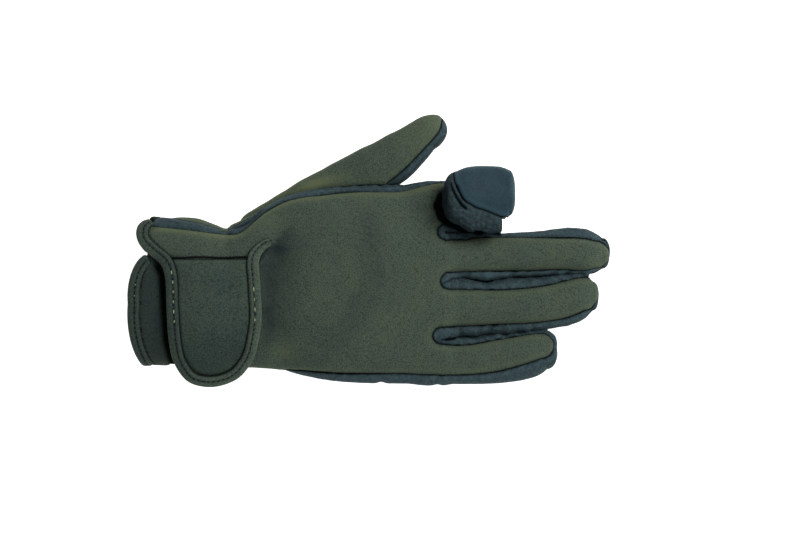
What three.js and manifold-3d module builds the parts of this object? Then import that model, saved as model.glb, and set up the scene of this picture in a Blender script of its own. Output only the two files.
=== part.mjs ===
// Neoprene work glove for the right hand, lying palm down, with the index fingertip folded back.
// The frame is in millimetres: +X runs to the fingertips, +Y to the thumb, +Z up, and the floor is z = 0.
// The glove is one hollow skin, lofted as tubes, that plan outlines cut into its sewn panels.
import * as THREE from "three";
import { mergeVertices } from "three/addons/utils/BufferGeometryUtils.js";
import Module from "manifold-3d";

const wasm = await Module();
wasm.setup();

// Driving dimensions
const WALL = 2.2; // foam rubber with its knitted faces
const GAP = 0.35; // between two sewn pieces
const CREST = 0.43; // share of a section's height at which it is widest
const SEAM_Z = 10; // the back panels end no lower than this
const THUMB_SEAM_Z = 5; // the same for the thumb's olive side
const PALM_SEAM_Z = 5.5; // where a finger's side strip meets the palm
const MOUTH_X = -112.6; // the wrist's edge, where the flap and the lobe start to round out
const TAPE_WIDTH = 6.5; // binding tape, as seen from above
const TAPE_PROUD = 0.9; // how far the tape stands off the cloth that it binds
const TAPE_FOLD = 1.3; // tape that turns round the cloth's edge
const STUB_END_X = 69.4; // open end of the index finger
const PALM_FLAT = 0.4; // pressed flat by the surface that the glove lies on
const TOP = 60; // above everything
const UNDER = -20; // below everything
const BEYOND = 200; // past everything in plan

// Reads a short table: column names, then one row for each section.
function table(columns, rows) {
  const names = columns.split(" ");
  return rows.map((row) => Object.fromEntries(names.map((name, i) => [name, row[i]])));
}

// Hand and cuff: the two side edges in plan, and the height of the back.
const HAND = table("x thumbSide littleSide height", [
  [-134, 17.4, -59.0, 37.0],
  [-110, 17.4, -59.5, 36.5],
  [-90, 16.8, -60.2, 35.5],
  [-80, 13.6, -60.5, 34.0],
  [-73, 11.6, -60.8, 32.5],
  [-69, 15.0, -60.8, 31.8],
  [-65, 17.4, -60.8, 31.2],
  [-57, 22.0, -60.8, 30.4],
  [-46, 27.4, -61.6, 28.6],
  [-33, 30.8, -64.6, 30.0],
  [-18, 32.8, -67.2, 30.5],
  [0, 34.2, -68.4, 29.5],
  [18, 34.8, -68.6, 27.6],
  [38, 36.2, -68.6, 24.8],
]);
const HAND_TIP = 8; // the hand closes this far past its last section
const HAND_CREST = 12; // above this the hand's edge leans in

// Fingers: centre line and half width in plan, and height. Their roots are rounded inside the hand.
const FINGERS = {
  index: {
    rows: table("x y half height", [
      [32, 22.4, 13.3, 22.0],
      [46, 22.6, 13.4, 20.6],
      [60, 22.8, 13.2, 19.4],
      [70, 22.8, 13.0, 19.2],
    ]),
    tip: 5,
  },
  middle: {
    rows: table("x y half height", [
      [32, -3.5, 12.7, 23.0],
      [44, -3.4, 12.5, 22.0],
      [64, -3.0, 12.2, 20.6],
      [84, -2.2, 12.1, 19.6],
      [104, -1.0, 12.0, 18.4],
      [113, -0.8, 11.6, 17.4],
    ]),
    tip: 12.8,
  },
  ring: {
    rows: table("x y half height", [
      [32, -30.8, 14.5, 23.2],
      [44, -30.4, 14.4, 22.2],
      [64, -29.4, 13.8, 20.8],
      [84, -28.2, 13.1, 19.6],
      [98, -26.9, 13.1, 18.4],
      [106, -25.6, 12.7, 17.4],
    ]),
    tip: 13.8,
  },
  little: {
    rows: table("x y half height", [
      [32, -57.1, 11.7, 21.6],
      [44, -57.2, 11.6, 20.6],
      [64, -56.4, 12.0, 19.2],
      [78, -54.8, 12.0, 18.0],
      [86, -53.5, 11.7, 17.0],
    ]),
    tip: 12,
  },
};

const FINGER_ROOT = 14;

// Thumb, in a frame of its own that is turned to point along it.
const THUMB_AT = { x: -35.6, y: 23.7, turn: 30 };
const THUMB = {
  rows: table("x y half height", [
    [-24, -3.4, 13.2, 12.0],
    [-14, -4.0, 14.3, 12.5],
    [0, -4.2, 14.8, 13.0],
    [20, -4.2, 14.6, 14.5],
    [40, -4.1, 13.8, 16.5],
    [54, -3.9, 12.8, 17.0],
    [66, -2.7, 10.5, 16.5],
    [75, -0.8, 8.9, 15.5],
  ]),
  startTip: 14,
  tip: 11.8,
};

// The index fingertip, folded back over its finger, in a frame that points to the wrist.
const HOOD_AT = { x: 60, y: 26.5, turn: 180 };
const HOOD = {
  rows: table("x y half floor height", [
    [-13, -3.2, 12.4, 19.6, 15.6],
    [-10, 0.0, 16.9, 19.6, 15.8],
    [2, -0.5, 16.9, 20.4, 16.2],
    [9, -0.5, 16.2, 21.5, 16.0],
    [14, -1.2, 13.4, 23.0, 14.8],
  ]),
  startTip: 3.4,
  tip: 7.4,
};
const HOOD_WALL = 1.6;
const HOOD_MOUTH = -9.4; // the fingertip is open here, and its pad runs on past this as a tongue
const HOOD_TONGUE_Z = 28.5; // the tongue's edge
const HINGE = { x0: 64, x1: 71.2, y0: 16.5, y1: 28, low: 19.35, high: 21.4, drop: 17 }; // the fold

// Plan outlines of the olive back, as bands: rows along X with a lower and an upper edge in Y.
const BACK_BANDS = {
  hand: {
    rows: table("x low high", [
      [-113, -80, 12.8],
      [-100, -80, 11.6],
      [-86, -80, 9.6],
      [-74, -80, 8.6],
      [-67, -80, 9.4],
      [-60, -76, 16.0],
      [-54, -72, 21.8],
      [-46, -66, 24.6],
      [-38, -62.4, 27.0],
      [-25, -63.4, 29.0],
      [-10, -64.4, 31.0],
      [15, -64.0, 30.8],
      [28, -64.6, 33.2],
      [40, -65.0, 34.2],
    ]),
    tip: 0,
  },
  index: {
    rows: table("x low high", [
      [36, 15.0, 34.6],
      [46, 14.6, 32.0],
      [60, 14.8, 31.6],
      [STUB_END_X - 0.01, 14.8, 31.6],
    ]),
    tip: 0,
  },
  middle: {
    rows: table("x low high", [
      [36, -11.0, 4.8],
      [56, -10.6, 6.4],
      [80, -10.4, 6.8],
      [100, -9.0, 6.3],
      [112, -9.2, 6.2],
      [118, -8.6, 5.8],
    ]),
    tip: 6.6,
  },
  ring: {
    rows: table("x low high", [
      [32, -39.4, -19.4],
      [54, -39.0, -20.2],
      [74, -38.2, -20.0],
      [90, -36.8, -18.2],
      [101, -35.6, -16.0],
      [108, -33.8, -14.8],
      [113, -31.8, -14.9],
    ]),
    tip: 6.2,
  },
  little: {
    rows: table("x low high", [
      [32, -65.0, -49.0],
      [52, -64.8, -48.6],
      [66, -63.4, -46.2],
      [78, -60.4, -44.4],
      [86, -57.8, -43.2],
      [90, -56.4, -43.0],
    ]),
    tip: 6,
  },
};
// Round ends of the slits between the fingers.
const SLIT_ENDS = table("x y radius", [
  [40.0, 9.8, 3.6],
  [41.8, -15.6, 4.5],
  [38.2, -44.0, 4.6],
]);
// Olive side of the thumb, in the thumb's frame.
const THUMB_BACK = {
  rows: table("x low high", [
    [-32, -24, 24],
    [0, -17.0, 24],
    [30, -13.0, 24],
    [52, -11.6, 24],
    [62, -9.4, 24],
    [72, -5.6, 24],
    [79, -1.6, 24],
    [84, 3.4, 24],
  ]),
  tip: 0,
};
// Smooth pad on the hood, in the hood's frame.
const HOOD_PAD = {
  rows: table("x low high", [
    [-24, -24, 12.0],
    [-11, -24, 9.1],
    [-2, -24, 6.2],
    [7, -24, 2.4],
    [10, -24, 0.6],
    [12, -24, -3.8],
    [14, -24, -8.6],
  ]),
  tip: 2,
};
const HOOD_PAD_Z = 27; // the pad's edge on the far side
const HOOD_BACK_Z = 24; // the olive underside of the fingertip ends here

// The cuff's mouth rounds out in arcs: the flap under the closure, the lobe beside the thumb, and the palm.
const FLAP_MOUTH = { y: -31.0, reachX: 13.0, reachY: 29.6 };
const LOBE_MOUTH = { y: 8.1, reachX: 7.8, reachY: 9.6 };
const PALM_MOUTH = { y: -21.0, reachX: 3.6, reachY: 39.5 };
const LOBE_TOP_Y = 12.8; // olive side of the lobe ends here
const LAP = 1; // how far two joined outlines lap over each other
// The cuff's split, from the notch in its mouth to its end under the closure.
const SPLIT = {
  rows: table("x low high", [
    [-128, -2.6, -0.8],
    [-112.6, -2.8, -1.0],
    [-104, -8.8, -5.8],
    [-90, -9.6, -7.2],
    [-64, -9.0, -8.0],
  ]),
  tip: 0,
};

// The closure tab: its bound edge runs from the lobe, round the tab's foot and up to the hand.
const TAB_EDGE = table("x y", [
  [-117.9, 11.8],
  [-118.2, 9.4],
  [-116.6, 5.0],
  [-110.4, -0.6],
  [-104.8, -5.4],
  [-102.2, -12.0],
  [-101.2, -30.0],
  [-100.2, -46.0],
  [-98.0, -56.6],
  [-92.0, -65.2],
  [-84.0, -67.4],
  [-76.8, -66.6],
  [-70.0, -63.4],
  [-65.2, -58.4],
  [-61.2, -48.0],
  [-58.6, -35.0],
  [-59.2, -18.0],
  [-60.2, -6.0],
  [-59.4, -0.6],
  [-56.6, 2.8],
  [-52.0, 4.4],
]);
const TAB_SEAM_Y = -3.9; // where the tab is sewn to the wrist band
const TAB_THICK = 3;
const TAB_RISE = 0.5; // clear of the back panel
const TAB_OVER_TAPE = { y: 0, slope: 4 }; // past y the tab rises over the flap's tape, within slope
const LOBE_TAPE = { y: -1, thick: 1.9, slope: 3 }; // thin tape on the lobe, thicker past y
const TAB_RELEASE = 9; // this far from the glove's side the tab leaves the cuff and runs on straight

// Reads a column of a table at x, by a smooth curve through the rows.
function at(rows, x, column) {
  const last = rows.length - 1;
  const slope = (i) => {
    const a = rows[Math.max(i - 1, 0)];
    const b = rows[Math.min(i + 1, last)];
    return (b[column] - a[column]) / (b.x - a.x);
  };
  let i = 0;
  while (i < last - 1 && x > rows[i + 1].x) i += 1;
  const step = rows[i + 1].x - rows[i].x;
  const t = Math.min(Math.max((x - rows[i].x) / step, 0), 1);
  const a = rows[i][column];
  const b = rows[i + 1][column];
  const rise = (2 * t - 3) * t * t;
  return (1 + rise) * a - rise * b + step * t * (1 - t) * ((1 - t) * slope(i) - t * slope(i + 1));
}

// Evenly spaced values of x from the first row to the last, at most step apart.
function stations(rows, step) {
  const from = rows[0].x;
  const length = rows[rows.length - 1].x - from;
  const count = Math.max(1, Math.ceil(length / step));
  return Array.from({ length: count + 1 }, (_, i) => from + (length * i) / count);
}

// Solids and meshes
function solidOf(geometry) {
  const bare = geometry.clone();
  bare.deleteAttribute("normal");
  bare.deleteAttribute("uv");
  const merged = mergeVertices(bare, 1e-4);
  const vertProperties = merged.attributes.position.array;
  const triVerts = new Uint32Array(merged.index.array);
  return new wasm.Manifold(new wasm.Mesh({ numProp: 3, vertProperties, triVerts }));
}

// The largest body of a solid as a mesh: cuts leave slivers beside it, which are dropped.
function largestBody(solid) {
  const { vertProperties, triVerts } = solid.getMesh();
  const points = new THREE.BufferAttribute(vertProperties, 3);
  const root = Array.from({ length: points.count }, (_, i) => i);
  const find = (i) => {
    while (root[i] !== i) i = root[i];
    return i;
  };
  for (let t = 0; t < triVerts.length; t += 3) {
    root[find(triVerts[t + 1])] = find(triVerts[t]);
    root[find(triVerts[t + 2])] = find(triVerts[t]);
  }
  const bodies = new Map();
  for (let t = 0; t < triVerts.length; t += 3) {
    const body = bodies.get(find(triVerts[t])) ?? { faces: [], volume: 0 };
    const [a, b, c] = [0, 1, 2].map((i) => new THREE.Vector3().fromBufferAttribute(points, triVerts[t + i]));
    body.faces.push(...triVerts.slice(t, t + 3));
    body.volume += a.dot(b.cross(c)) / 6;
    bodies.set(find(triVerts[t]), body);
  }
  const largest = [...bodies.values()].reduce((a, b) => (b.volume > a.volume ? b : a));
  const geometry = new THREE.BufferGeometry();
  geometry.setAttribute("position", points);
  geometry.setIndex(largest.faces);
  const faceted = geometry.toNonIndexed();
  faceted.computeVertexNormals();
  return faceted;
}

const joined = (solids) => solids.reduce((a, b) => a.add(b));

// Turns a shape from a frame of its own into the glove's frame.
function placed(geometry, frame) {
  if (!frame) return geometry;
  return geometry.rotateZ(THREE.MathUtils.degToRad(frame.turn)).translate(frame.x, frame.y, 0);
}

// Closes a stack of rings, each with the same number of points, into one body.
function skin(rings) {
  const around = rings[0].length;
  const points = rings.flat();
  const faces = [];
  for (let r = 0; r + 1 < rings.length; r += 1) {
    for (let i = 0; i < around; i += 1) {
      const a = r * around + i;
      const b = r * around + ((i + 1) % around);
      faces.push(a, b, b + around, a, b + around, a + around);
    }
  }
  const middle = (ring) => ring.reduce((sum, p) => sum.add(p), new THREE.Vector3()).divideScalar(around);
  const first = points.push(middle(rings[0])) - 1;
  const final = points.push(middle(rings[rings.length - 1])) - 1;
  const lastRing = (rings.length - 1) * around;
  for (let i = 0; i < around; i += 1) {
    const next = (i + 1) % around;
    faces.push(first, next, i, final, lastRing + i, lastRing + next);
  }
  const geometry = new THREE.BufferGeometry().setFromPoints(points);
  geometry.setIndex(faces);
  return geometry;
}

// A section's edges and heights at x, taken in on every side by inset.
function sectionAt(rows, x, inset) {
  const low = "half" in rows[0] ? at(rows, x, "y") - at(rows, x, "half") : at(rows, x, "littleSide");
  const high = "half" in rows[0] ? at(rows, x, "y") + at(rows, x, "half") : at(rows, x, "thumbSide");
  const floor = "floor" in rows[0] ? at(rows, x, "floor") : -PALM_FLAT;
  return {
    y: (low + high) / 2,
    half: (high - low) / 2 - inset,
    floor: floor + inset,
    height: at(rows, x, "height") - 2 * inset,
  };
}

// One ring of a tube: domed above, flatter below, where it rests.
const DOME = 2.25;
const BASE = 3.2;
function ringAt(x, section, scale, around) {
  const crest = section.floor + CREST * section.height;
  return Array.from({ length: around }, (_, i) => {
    const angle = (2 * Math.PI * i) / around;
    const c = Math.cos(angle);
    const s = Math.sin(angle);
    const power = 2 / (s > 0 ? DOME : BASE);
    const reach = s > 0 ? (1 - CREST) * section.height : CREST * section.height;
    const y = section.y + scale * section.half * Math.sign(c) * Math.abs(c) ** power;
    const z = crest + scale * reach * Math.sign(s) * Math.abs(s) ** power;
    return new THREE.Vector3(x, y, z);
  });
}

// A closed tube through a table's sections, with a rounded tip past the last one.
const TIP_ANGLES = [32, 58, 79].map(THREE.MathUtils.degToRad);
const TIP_FULLNESS = 0.8; // blunter than a half round
function tube(rows, tip, { inset, step, around, frame = null, startTip = 0 }) {
  const rings = stations(rows, step).map((x) => ringAt(x, sectionAt(rows, x, inset), 1, around));
  const cap = (x, reach) => {
    const section = sectionAt(rows, x, inset);
    const scale = (angle) => Math.cos(angle) ** TIP_FULLNESS;
    return TIP_ANGLES.map((angle) => ringAt(x + reach * Math.sin(angle), section, scale(angle), around));
  };
  if (tip > 0) rings.push(...cap(rows[rows.length - 1].x, tip - inset));
  if (startTip > 0) rings.unshift(...cap(rows[0].x, inset - startTip).reverse());
  return solidOf(placed(skin(rings), frame));
}

// An upright block over a plan outline.
function plate(outline, low, high, frame) {
  const shape = new THREE.Shape(outline);
  const block = new THREE.ExtrudeGeometry(shape, { depth: high - low, bevelEnabled: false });
  return solidOf(placed(block.translate(0, 0, low), frame));
}

const rectangle = (x0, x1, y0, y1) => [
  new THREE.Vector2(x0, y0),
  new THREE.Vector2(x1, y0),
  new THREE.Vector2(x1, y1),
  new THREE.Vector2(x0, y1),
];

// The outline of a band, grown by grow, with a half-round tip past its last row.
function bandOutline({ rows, tip }, grow, step = 14) {
  const along = stations(rows, step);
  const last = along[along.length - 1];
  const low = along.map((x) => new THREE.Vector2(x, at(rows, x, "low") - grow));
  const high = along.map((x) => new THREE.Vector2(x, at(rows, x, "high") + grow)).reverse();
  const half = (high[0].y - low[low.length - 1].y) / 2;
  const middle = (high[0].y + low[low.length - 1].y) / 2;
  const round = (tip > 0 ? [-60, -30, 0, 30, 60] : []).map((degrees) => {
    const angle = THREE.MathUtils.degToRad(degrees);
    return new THREE.Vector2(last + (tip + grow) * Math.cos(angle), middle + half * Math.sin(angle));
  });
  return [...low, ...round, ...high];
}

// The round end of a slit, open towards the fingertips.
function slitOutline({ x, y, radius }, shrink) {
  const size = radius - shrink;
  const round = [90, 125, 155, 180, 205, 235, 270].map((degrees) => {
    const angle = THREE.MathUtils.degToRad(degrees);
    return new THREE.Vector2(x + size * Math.cos(angle), y + size * Math.sin(angle));
  });
  return [...round, new THREE.Vector2(x + 3 * radius, y - size), new THREE.Vector2(x + 3 * radius, y + size)];
}

// The glove's outer and inner forms, taken in by inset.
const FACETS = {
  outside: { hand: { step: 12, around: 24 }, finger: { step: 15, around: 16 } },
  inside: { hand: { step: 22, around: 16 }, finger: { step: 24, around: 10 } },
};
const facets = (inset) => (inset > 0 ? FACETS.inside : FACETS.outside);
function gloveForm(inset) {
  const options = { ...facets(inset).finger, inset, startTip: FINGER_ROOT };
  const hand = tube(HAND, HAND_TIP, { ...facets(inset).hand, inset });
  return joined([hand, ...Object.values(FINGERS).map(({ rows, tip }) => tube(rows, tip, options))]);
}
function thumbForm(inset) {
  const options = { ...facets(inset).finger, inset, startTip: THUMB.startTip, frame: THUMB_AT };
  return tube(THUMB.rows, THUMB.tip, options);
}
const surface = plate(rectangle(-BEYOND, BEYOND, -BEYOND, BEYOND), UNDER, 0);
const outer = gloveForm(0).subtract(surface);
const hollow = joined([gloveForm(WALL), thumbForm(WALL)]);

// The hand's edge lies over the thumb's root, so the thumb ends beside it.
const handEdge = HAND.map(({ x, thumbSide }) => new THREE.Vector2(x, thumbSide + GAP));
const [cuffEnd, knuckles] = [handEdge[0], handEdge[handEdge.length - 1]];
const overThumb = [new THREE.Vector2(cuffEnd.x, 0), new THREE.Vector2(knuckles.x, 0), ...handEdge.reverse()];
const thumbOuter = thumbForm(0).subtract(surface).subtract(plate(overThumb, HAND_CREST, TOP));
const thumbShell = thumbOuter.subtract(hollow).subtract(gloveForm(-GAP));

// Everything of the glove that lies on the hand's side of some of the mouth's arcs, moved by shift.
function mouthPlate(arcs, shift) {
  const rounded = arcs.map(({ y, reachX, reachY }) => {
    const points = Array.from({ length: 11 }, (_, i) => {
      const angle = Math.PI * (0.5 + i / 10);
      return new THREE.Vector2(MOUTH_X + shift + reachX * Math.cos(angle), y + reachY * Math.sin(angle));
    });
    const behind = (side) => new THREE.Vector2(MOUTH_X + shift + LAP, side);
    return plate([behind(y + reachY), ...points, behind(y - reachY)], UNDER, TOP);
  });
  return joined([plate(rectangle(MOUTH_X + shift, BEYOND, -BEYOND, BEYOND), UNDER, TOP), ...rounded]);
}

// Plan region of the olive back, grown by grow.
function backRegion(grow) {
  const bands = Object.values(BACK_BANDS).map((band) => plate(bandOutline(band, grow), SEAM_Z - grow, TOP));
  const cuff = plate(rectangle(-BEYOND, MOUTH_X + LAP, -BEYOND, LOBE_TOP_Y + grow), SEAM_Z - grow, TOP);
  const slits = SLIT_ENDS.map((slit) => plate(slitOutline(slit, grow), UNDER, TOP));
  return joined([...bands, cuff]).subtract(joined(slits));
}

// Plan region of the side strip between two fingers, from one centre line to the other, above the palm.
const STRIP = { from: 35.5, to: 128, step: 16 };
function stripRegion(upper, lower, grow) {
  const along = stations([{ x: STRIP.from - grow }, { x: STRIP.to }], STRIP.step);
  const edge = (rows, side) =>
    along.map((x) => new THREE.Vector2(x, at(rows, Math.min(x, rows[rows.length - 1].x), "y") + side));
  const outline = [...edge(FINGERS[lower].rows, -grow), ...edge(FINGERS[upper].rows, grow).reverse()];
  return plate(outline, PALM_SEAM_Z - grow, TOP);
}
const STRIPS = [
  ["index", "middle"],
  ["middle", "ring"],
  ["ring", "little"],
];

// Sewn panels of the hand
const pastIndex = plate(rectangle(STUB_END_X, STUB_END_X + 12, 9.5, 40), UNDER, TOP);
const shell = outer.subtract(hollow).subtract(pastIndex);
const backMouth = mouthPlate([FLAP_MOUTH, LOBE_MOUTH], TAPE_FOLD);
const split = plate(bandOutline(SPLIT, 0), SEAM_Z, TOP);
const back = shell.intersect(backRegion(0)).intersect(backMouth).subtract(split);
const sides = shell.subtract(backRegion(GAP)).intersect(mouthPlate([PALM_MOUTH], TAPE_FOLD));
const strips = STRIPS.map(([upper, lower]) => sides.intersect(stripRegion(upper, lower, -GAP / 2)));
const palm = sides.subtract(joined(STRIPS.map(([upper, lower]) => stripRegion(upper, lower, GAP / 2))));

// Sewn panels of the thumb
const thumbRegion = (grow) => plate(bandOutline(THUMB_BACK, grow), THUMB_SEAM_Z - grow, TOP, THUMB_AT);
const thumbBack = thumbShell.intersect(thumbRegion(0));
const thumbFront = thumbShell.subtract(thumbRegion(GAP));

// Binding tape round the cuff's mouth: a channel that the cloth's edge lies in.
const channel = gloveForm(-TAPE_PROUD).subtract(joined([gloveForm(WALL + TAPE_PROUD), thumbForm(WALL)]));
const clothSpace = gloveForm(-GAP).subtract(gloveForm(WALL + GAP));
function mouthTape(arcs) {
  const edge = mouthPlate(arcs, 0).subtract(mouthPlate(arcs, TAPE_WIDTH));
  return channel.intersect(edge).subtract(clothSpace.intersect(mouthPlate(arcs, TAPE_FOLD - GAP)));
}
const olive = (high) => plate(rectangle(-BEYOND, 0, -BEYOND, high), SEAM_Z - GAP / 2, TOP);
const flapTape = mouthTape([FLAP_MOUTH]).intersect(olive(SPLIT.rows[0].low));
const palmTape = mouthTape([PALM_MOUTH]).subtract(olive(LOBE_TOP_Y + GAP)).subtract(surface);

// Height of the back of the cuff at a place in plan.
function backHeight(x, y) {
  const section = sectionAt(HAND, x, 0);
  const release = section.y - section.half + TAB_RELEASE;
  const reach = (1 - CREST) * section.height;
  const height = (place) => {
    const t = Math.min(Math.abs(place - section.y) / section.half, 0.97);
    return section.floor + CREST * section.height + reach * (1 - t ** DOME) ** (1 / DOME);
  };
  if (y > release) return height(y);
  return height(release) + (height(release + 1) - height(release)) * (y - release);
}

// A sheet that follows the back of the cuff, from low to high above it.
function sheet(low, high) {
  const reach = (values, step) =>
    stations([{ x: Math.min(...values) - TAPE_WIDTH }, { x: Math.max(...values) + TAPE_WIDTH }], step);
  const xs = reach(TAB_EDGE.map(({ x }) => x), 13);
  const ys = reach(TAB_EDGE.map(({ y }) => y), 6);
  const side = (rise) => xs.map((x) => ys.map((y) => new THREE.Vector3(x, y, backHeight(x, y) + rise(x, y))));
  const points = [...side(high).flat(), ...side(low).flat()];
  const count = points.length / 2;
  const faces = [];
  const quad = (a, b, c, d) => faces.push(a, b, c, a, c, d);
  const index = (i, j) => i * ys.length + j;
  for (let i = 0; i + 1 < xs.length; i += 1) {
    for (let j = 0; j + 1 < ys.length; j += 1) {
      const corners = [index(i, j), index(i + 1, j), index(i + 1, j + 1), index(i, j + 1)];
      quad(...corners);
      quad(...corners.reverse().map((corner) => corner + count));
    }
  }
  const rim = [
    ...xs.map((_, i) => index(i, 0)),
    ...ys.slice(1).map((_, j) => index(xs.length - 1, j + 1)),
    ...xs.slice(1).map((_, i) => index(xs.length - 2 - i, ys.length - 1)),
    ...ys.slice(1, -1).map((_, j) => index(0, ys.length - 2 - j)),
  ];
  rim.forEach((a, i) => {
    const b = rim[(i + 1) % rim.length];
    quad(a, a + count, b + count, b);
  });
  return solidOf(new THREE.BufferGeometry().setFromPoints(points).setIndex(faces));
}

// The closure tab and its tape. On the lobe the tape lies thin, on the tab it holds the tab's edge.
const edgeCurve = new THREE.CatmullRomCurve3(TAB_EDGE.map(({ x, y }) => new THREE.Vector3(x, y, 0)));
const edgePoints = edgeCurve.getSpacedPoints(28);
function ribbon(grow) {
  const side = (sign) =>
    edgePoints.map((point, i) => {
      const along = edgeCurve.getTangentAt(i / (edgePoints.length - 1));
      const off = sign * (TAPE_WIDTH / 2 + grow);
      return new THREE.Vector2(point.x - along.y * off, point.y + along.x * off);
    });
  return plate([...side(-1), ...side(1).reverse()], UNDER, TOP);
}
const past = (y, { y: start, slope }) => Math.max(start - y, 0) / slope;
const tabLow = (x, y) => TAB_RISE + TAPE_PROUD * Math.min(past(y, TAB_OVER_TAPE), 1);
const tapeThick = (y) => Math.min(TAB_THICK + TAPE_PROUD, LOBE_TAPE.thick + past(y, LOBE_TAPE));
const tabTape = sheet(tabLow, (x, y) => tabLow(x, y) + tapeThick(y)).intersect(ribbon(0));
const tabInside = edgePoints.filter(({ y }) => y < TAB_SEAM_Y).map(({ x, y }) => new THREE.Vector2(x, y));
const tab = sheet(tabLow, (x, y) => tabLow(x, y) + TAB_THICK)
  .intersect(plate(tabInside, UNDER, TOP))
  .subtract(ribbon(GAP));

// The folded-back fingertip: smooth pad above, brushed wall round it, olive underside.
const hoodForm = (inset) =>
  tube(HOOD.rows, HOOD.tip, { inset, step: 8, frame: HOOD_AT, startTip: HOOD.startTip, around: 16 });
const hoodShell = hoodForm(0).subtract(hoodForm(HOOD_WALL));
const pastHoodMouth = (high) => plate(rectangle(-BEYOND, HOOD_MOUTH, -BEYOND, BEYOND), UNDER, high, HOOD_AT);
const padRegion = (grow) => plate(bandOutline(HOOD_PAD, grow, 5), HOOD_PAD_Z - grow, TOP, HOOD_AT);
const belowBack = (grow) => plate(rectangle(-BEYOND, BEYOND, -BEYOND, BEYOND), UNDER, HOOD_BACK_Z + grow);
const hoodPad = hoodShell.intersect(padRegion(0)).subtract(pastHoodMouth(HOOD_TONGUE_Z));
const hoodWall = hoodShell.subtract(padRegion(GAP)).subtract(belowBack(GAP)).subtract(pastHoodMouth(TOP));
const hinge = plate(rectangle(HINGE.x0, HINGE.x1, HINGE.y0, HINGE.y1), HINGE.low, HINGE.high);
const hingeFold = plate(rectangle(STUB_END_X + GAP, HINGE.x1, HINGE.y0, HINGE.y1), HINGE.drop, HINGE.high);
const hoodBack = hoodShell
  .intersect(belowBack(0))
  .subtract(pastHoodMouth(TOP))
  .add(joined([hinge, hingeFold]).subtract(hoodForm(HOOD_WALL)));

// Materials
const cloth = (color, roughness) => new THREE.MeshStandardMaterial({ color, roughness, metalness: 0 });
const OLIVE = cloth(0x46523f, 0.95); // knitted face on foam rubber
const NAVY = cloth(0x323f46, 0.9); // brushed synthetic leather
const PAD = cloth(0x32444c, 0.6); // smooth side of the same leather
const TAPE = cloth(0x2f3a33, 0.95); // elastic binding tape

function named(name, solid, material) {
  const mesh = new THREE.Mesh(largestBody(solid), material);
  mesh.name = name;
  return mesh;
}

const glove = new THREE.Group();
glove.add(named("back_panel", back, OLIVE));
glove.add(named("palm_panel", palm, NAVY));
STRIPS.forEach(([upper, lower], i) => glove.add(named(`${upper}_${lower}_side_strip`, strips[i], NAVY)));
glove.add(named("thumb_back", thumbBack, OLIVE));
glove.add(named("thumb_front", thumbFront, NAVY));
glove.add(named("wrist_tab", tab, OLIVE));
glove.add(named("tab_binding", tabTape, TAPE));
glove.add(named("flap_binding", flapTape, TAPE));
glove.add(named("palm_binding", palmTape, TAPE));
glove.add(named("fingertip_pad", hoodPad, PAD));
glove.add(named("fingertip_wall", hoodWall, NAVY));
glove.add(named("fingertip_back", hoodBack, OLIVE));

export default glove;
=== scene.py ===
"""Right-hand neoprene work glove, lying palm down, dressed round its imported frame."""

import logging
import math
from collections.abc import Callable, Sequence
from dataclasses import dataclass, field
from enum import Enum

import bpy
import numpy as np
from mathutils.kdtree import KDTree
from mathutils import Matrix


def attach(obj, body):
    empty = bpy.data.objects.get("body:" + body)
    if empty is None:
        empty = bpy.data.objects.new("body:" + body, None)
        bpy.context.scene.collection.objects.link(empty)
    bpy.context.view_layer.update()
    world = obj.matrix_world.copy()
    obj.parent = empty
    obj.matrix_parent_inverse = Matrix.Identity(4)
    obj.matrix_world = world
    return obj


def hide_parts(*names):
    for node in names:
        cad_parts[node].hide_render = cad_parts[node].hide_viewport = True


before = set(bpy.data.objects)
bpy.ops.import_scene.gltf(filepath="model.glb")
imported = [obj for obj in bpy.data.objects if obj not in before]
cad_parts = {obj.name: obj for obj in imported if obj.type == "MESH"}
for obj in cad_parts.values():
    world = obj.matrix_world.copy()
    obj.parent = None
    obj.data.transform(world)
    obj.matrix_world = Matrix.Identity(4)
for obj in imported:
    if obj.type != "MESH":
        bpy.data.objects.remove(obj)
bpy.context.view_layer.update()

LOG = logging.getLogger("glove")
BODY = "root"
MM = 0.001  # the tables below are in millimetres

Array = np.ndarray
Distance = Callable[[Array, Array, Array], Array]

# The same driving sizes as the part's source
WALL = 2.2
CREST = 0.43
DOME = 2.25
BASE = 3.2
SEAM_Z = 10.0
THUMB_SEAM_Z = 5.0
PALM_SEAM_Z = 5.5
MOUTH_X = -112.6
TAPE_WIDTH = 6.5
TAPE_PROUD = 0.9
TAPE_FOLD = 1.3
STUB_END_X = 69.4
PALM_FLAT = 0.4
HAND_CREST = 12.0
TIP_POWER = 2.5  # how full a rounded end is
SEEN_Z = (12, 15)  # from here on up, the hand's skin is seen from above
HAND_END = (42, 39)  # in x, where the hand's upper edge ends at the fingers
PATH_STEP = 0.65  # between two sections of tape


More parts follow.
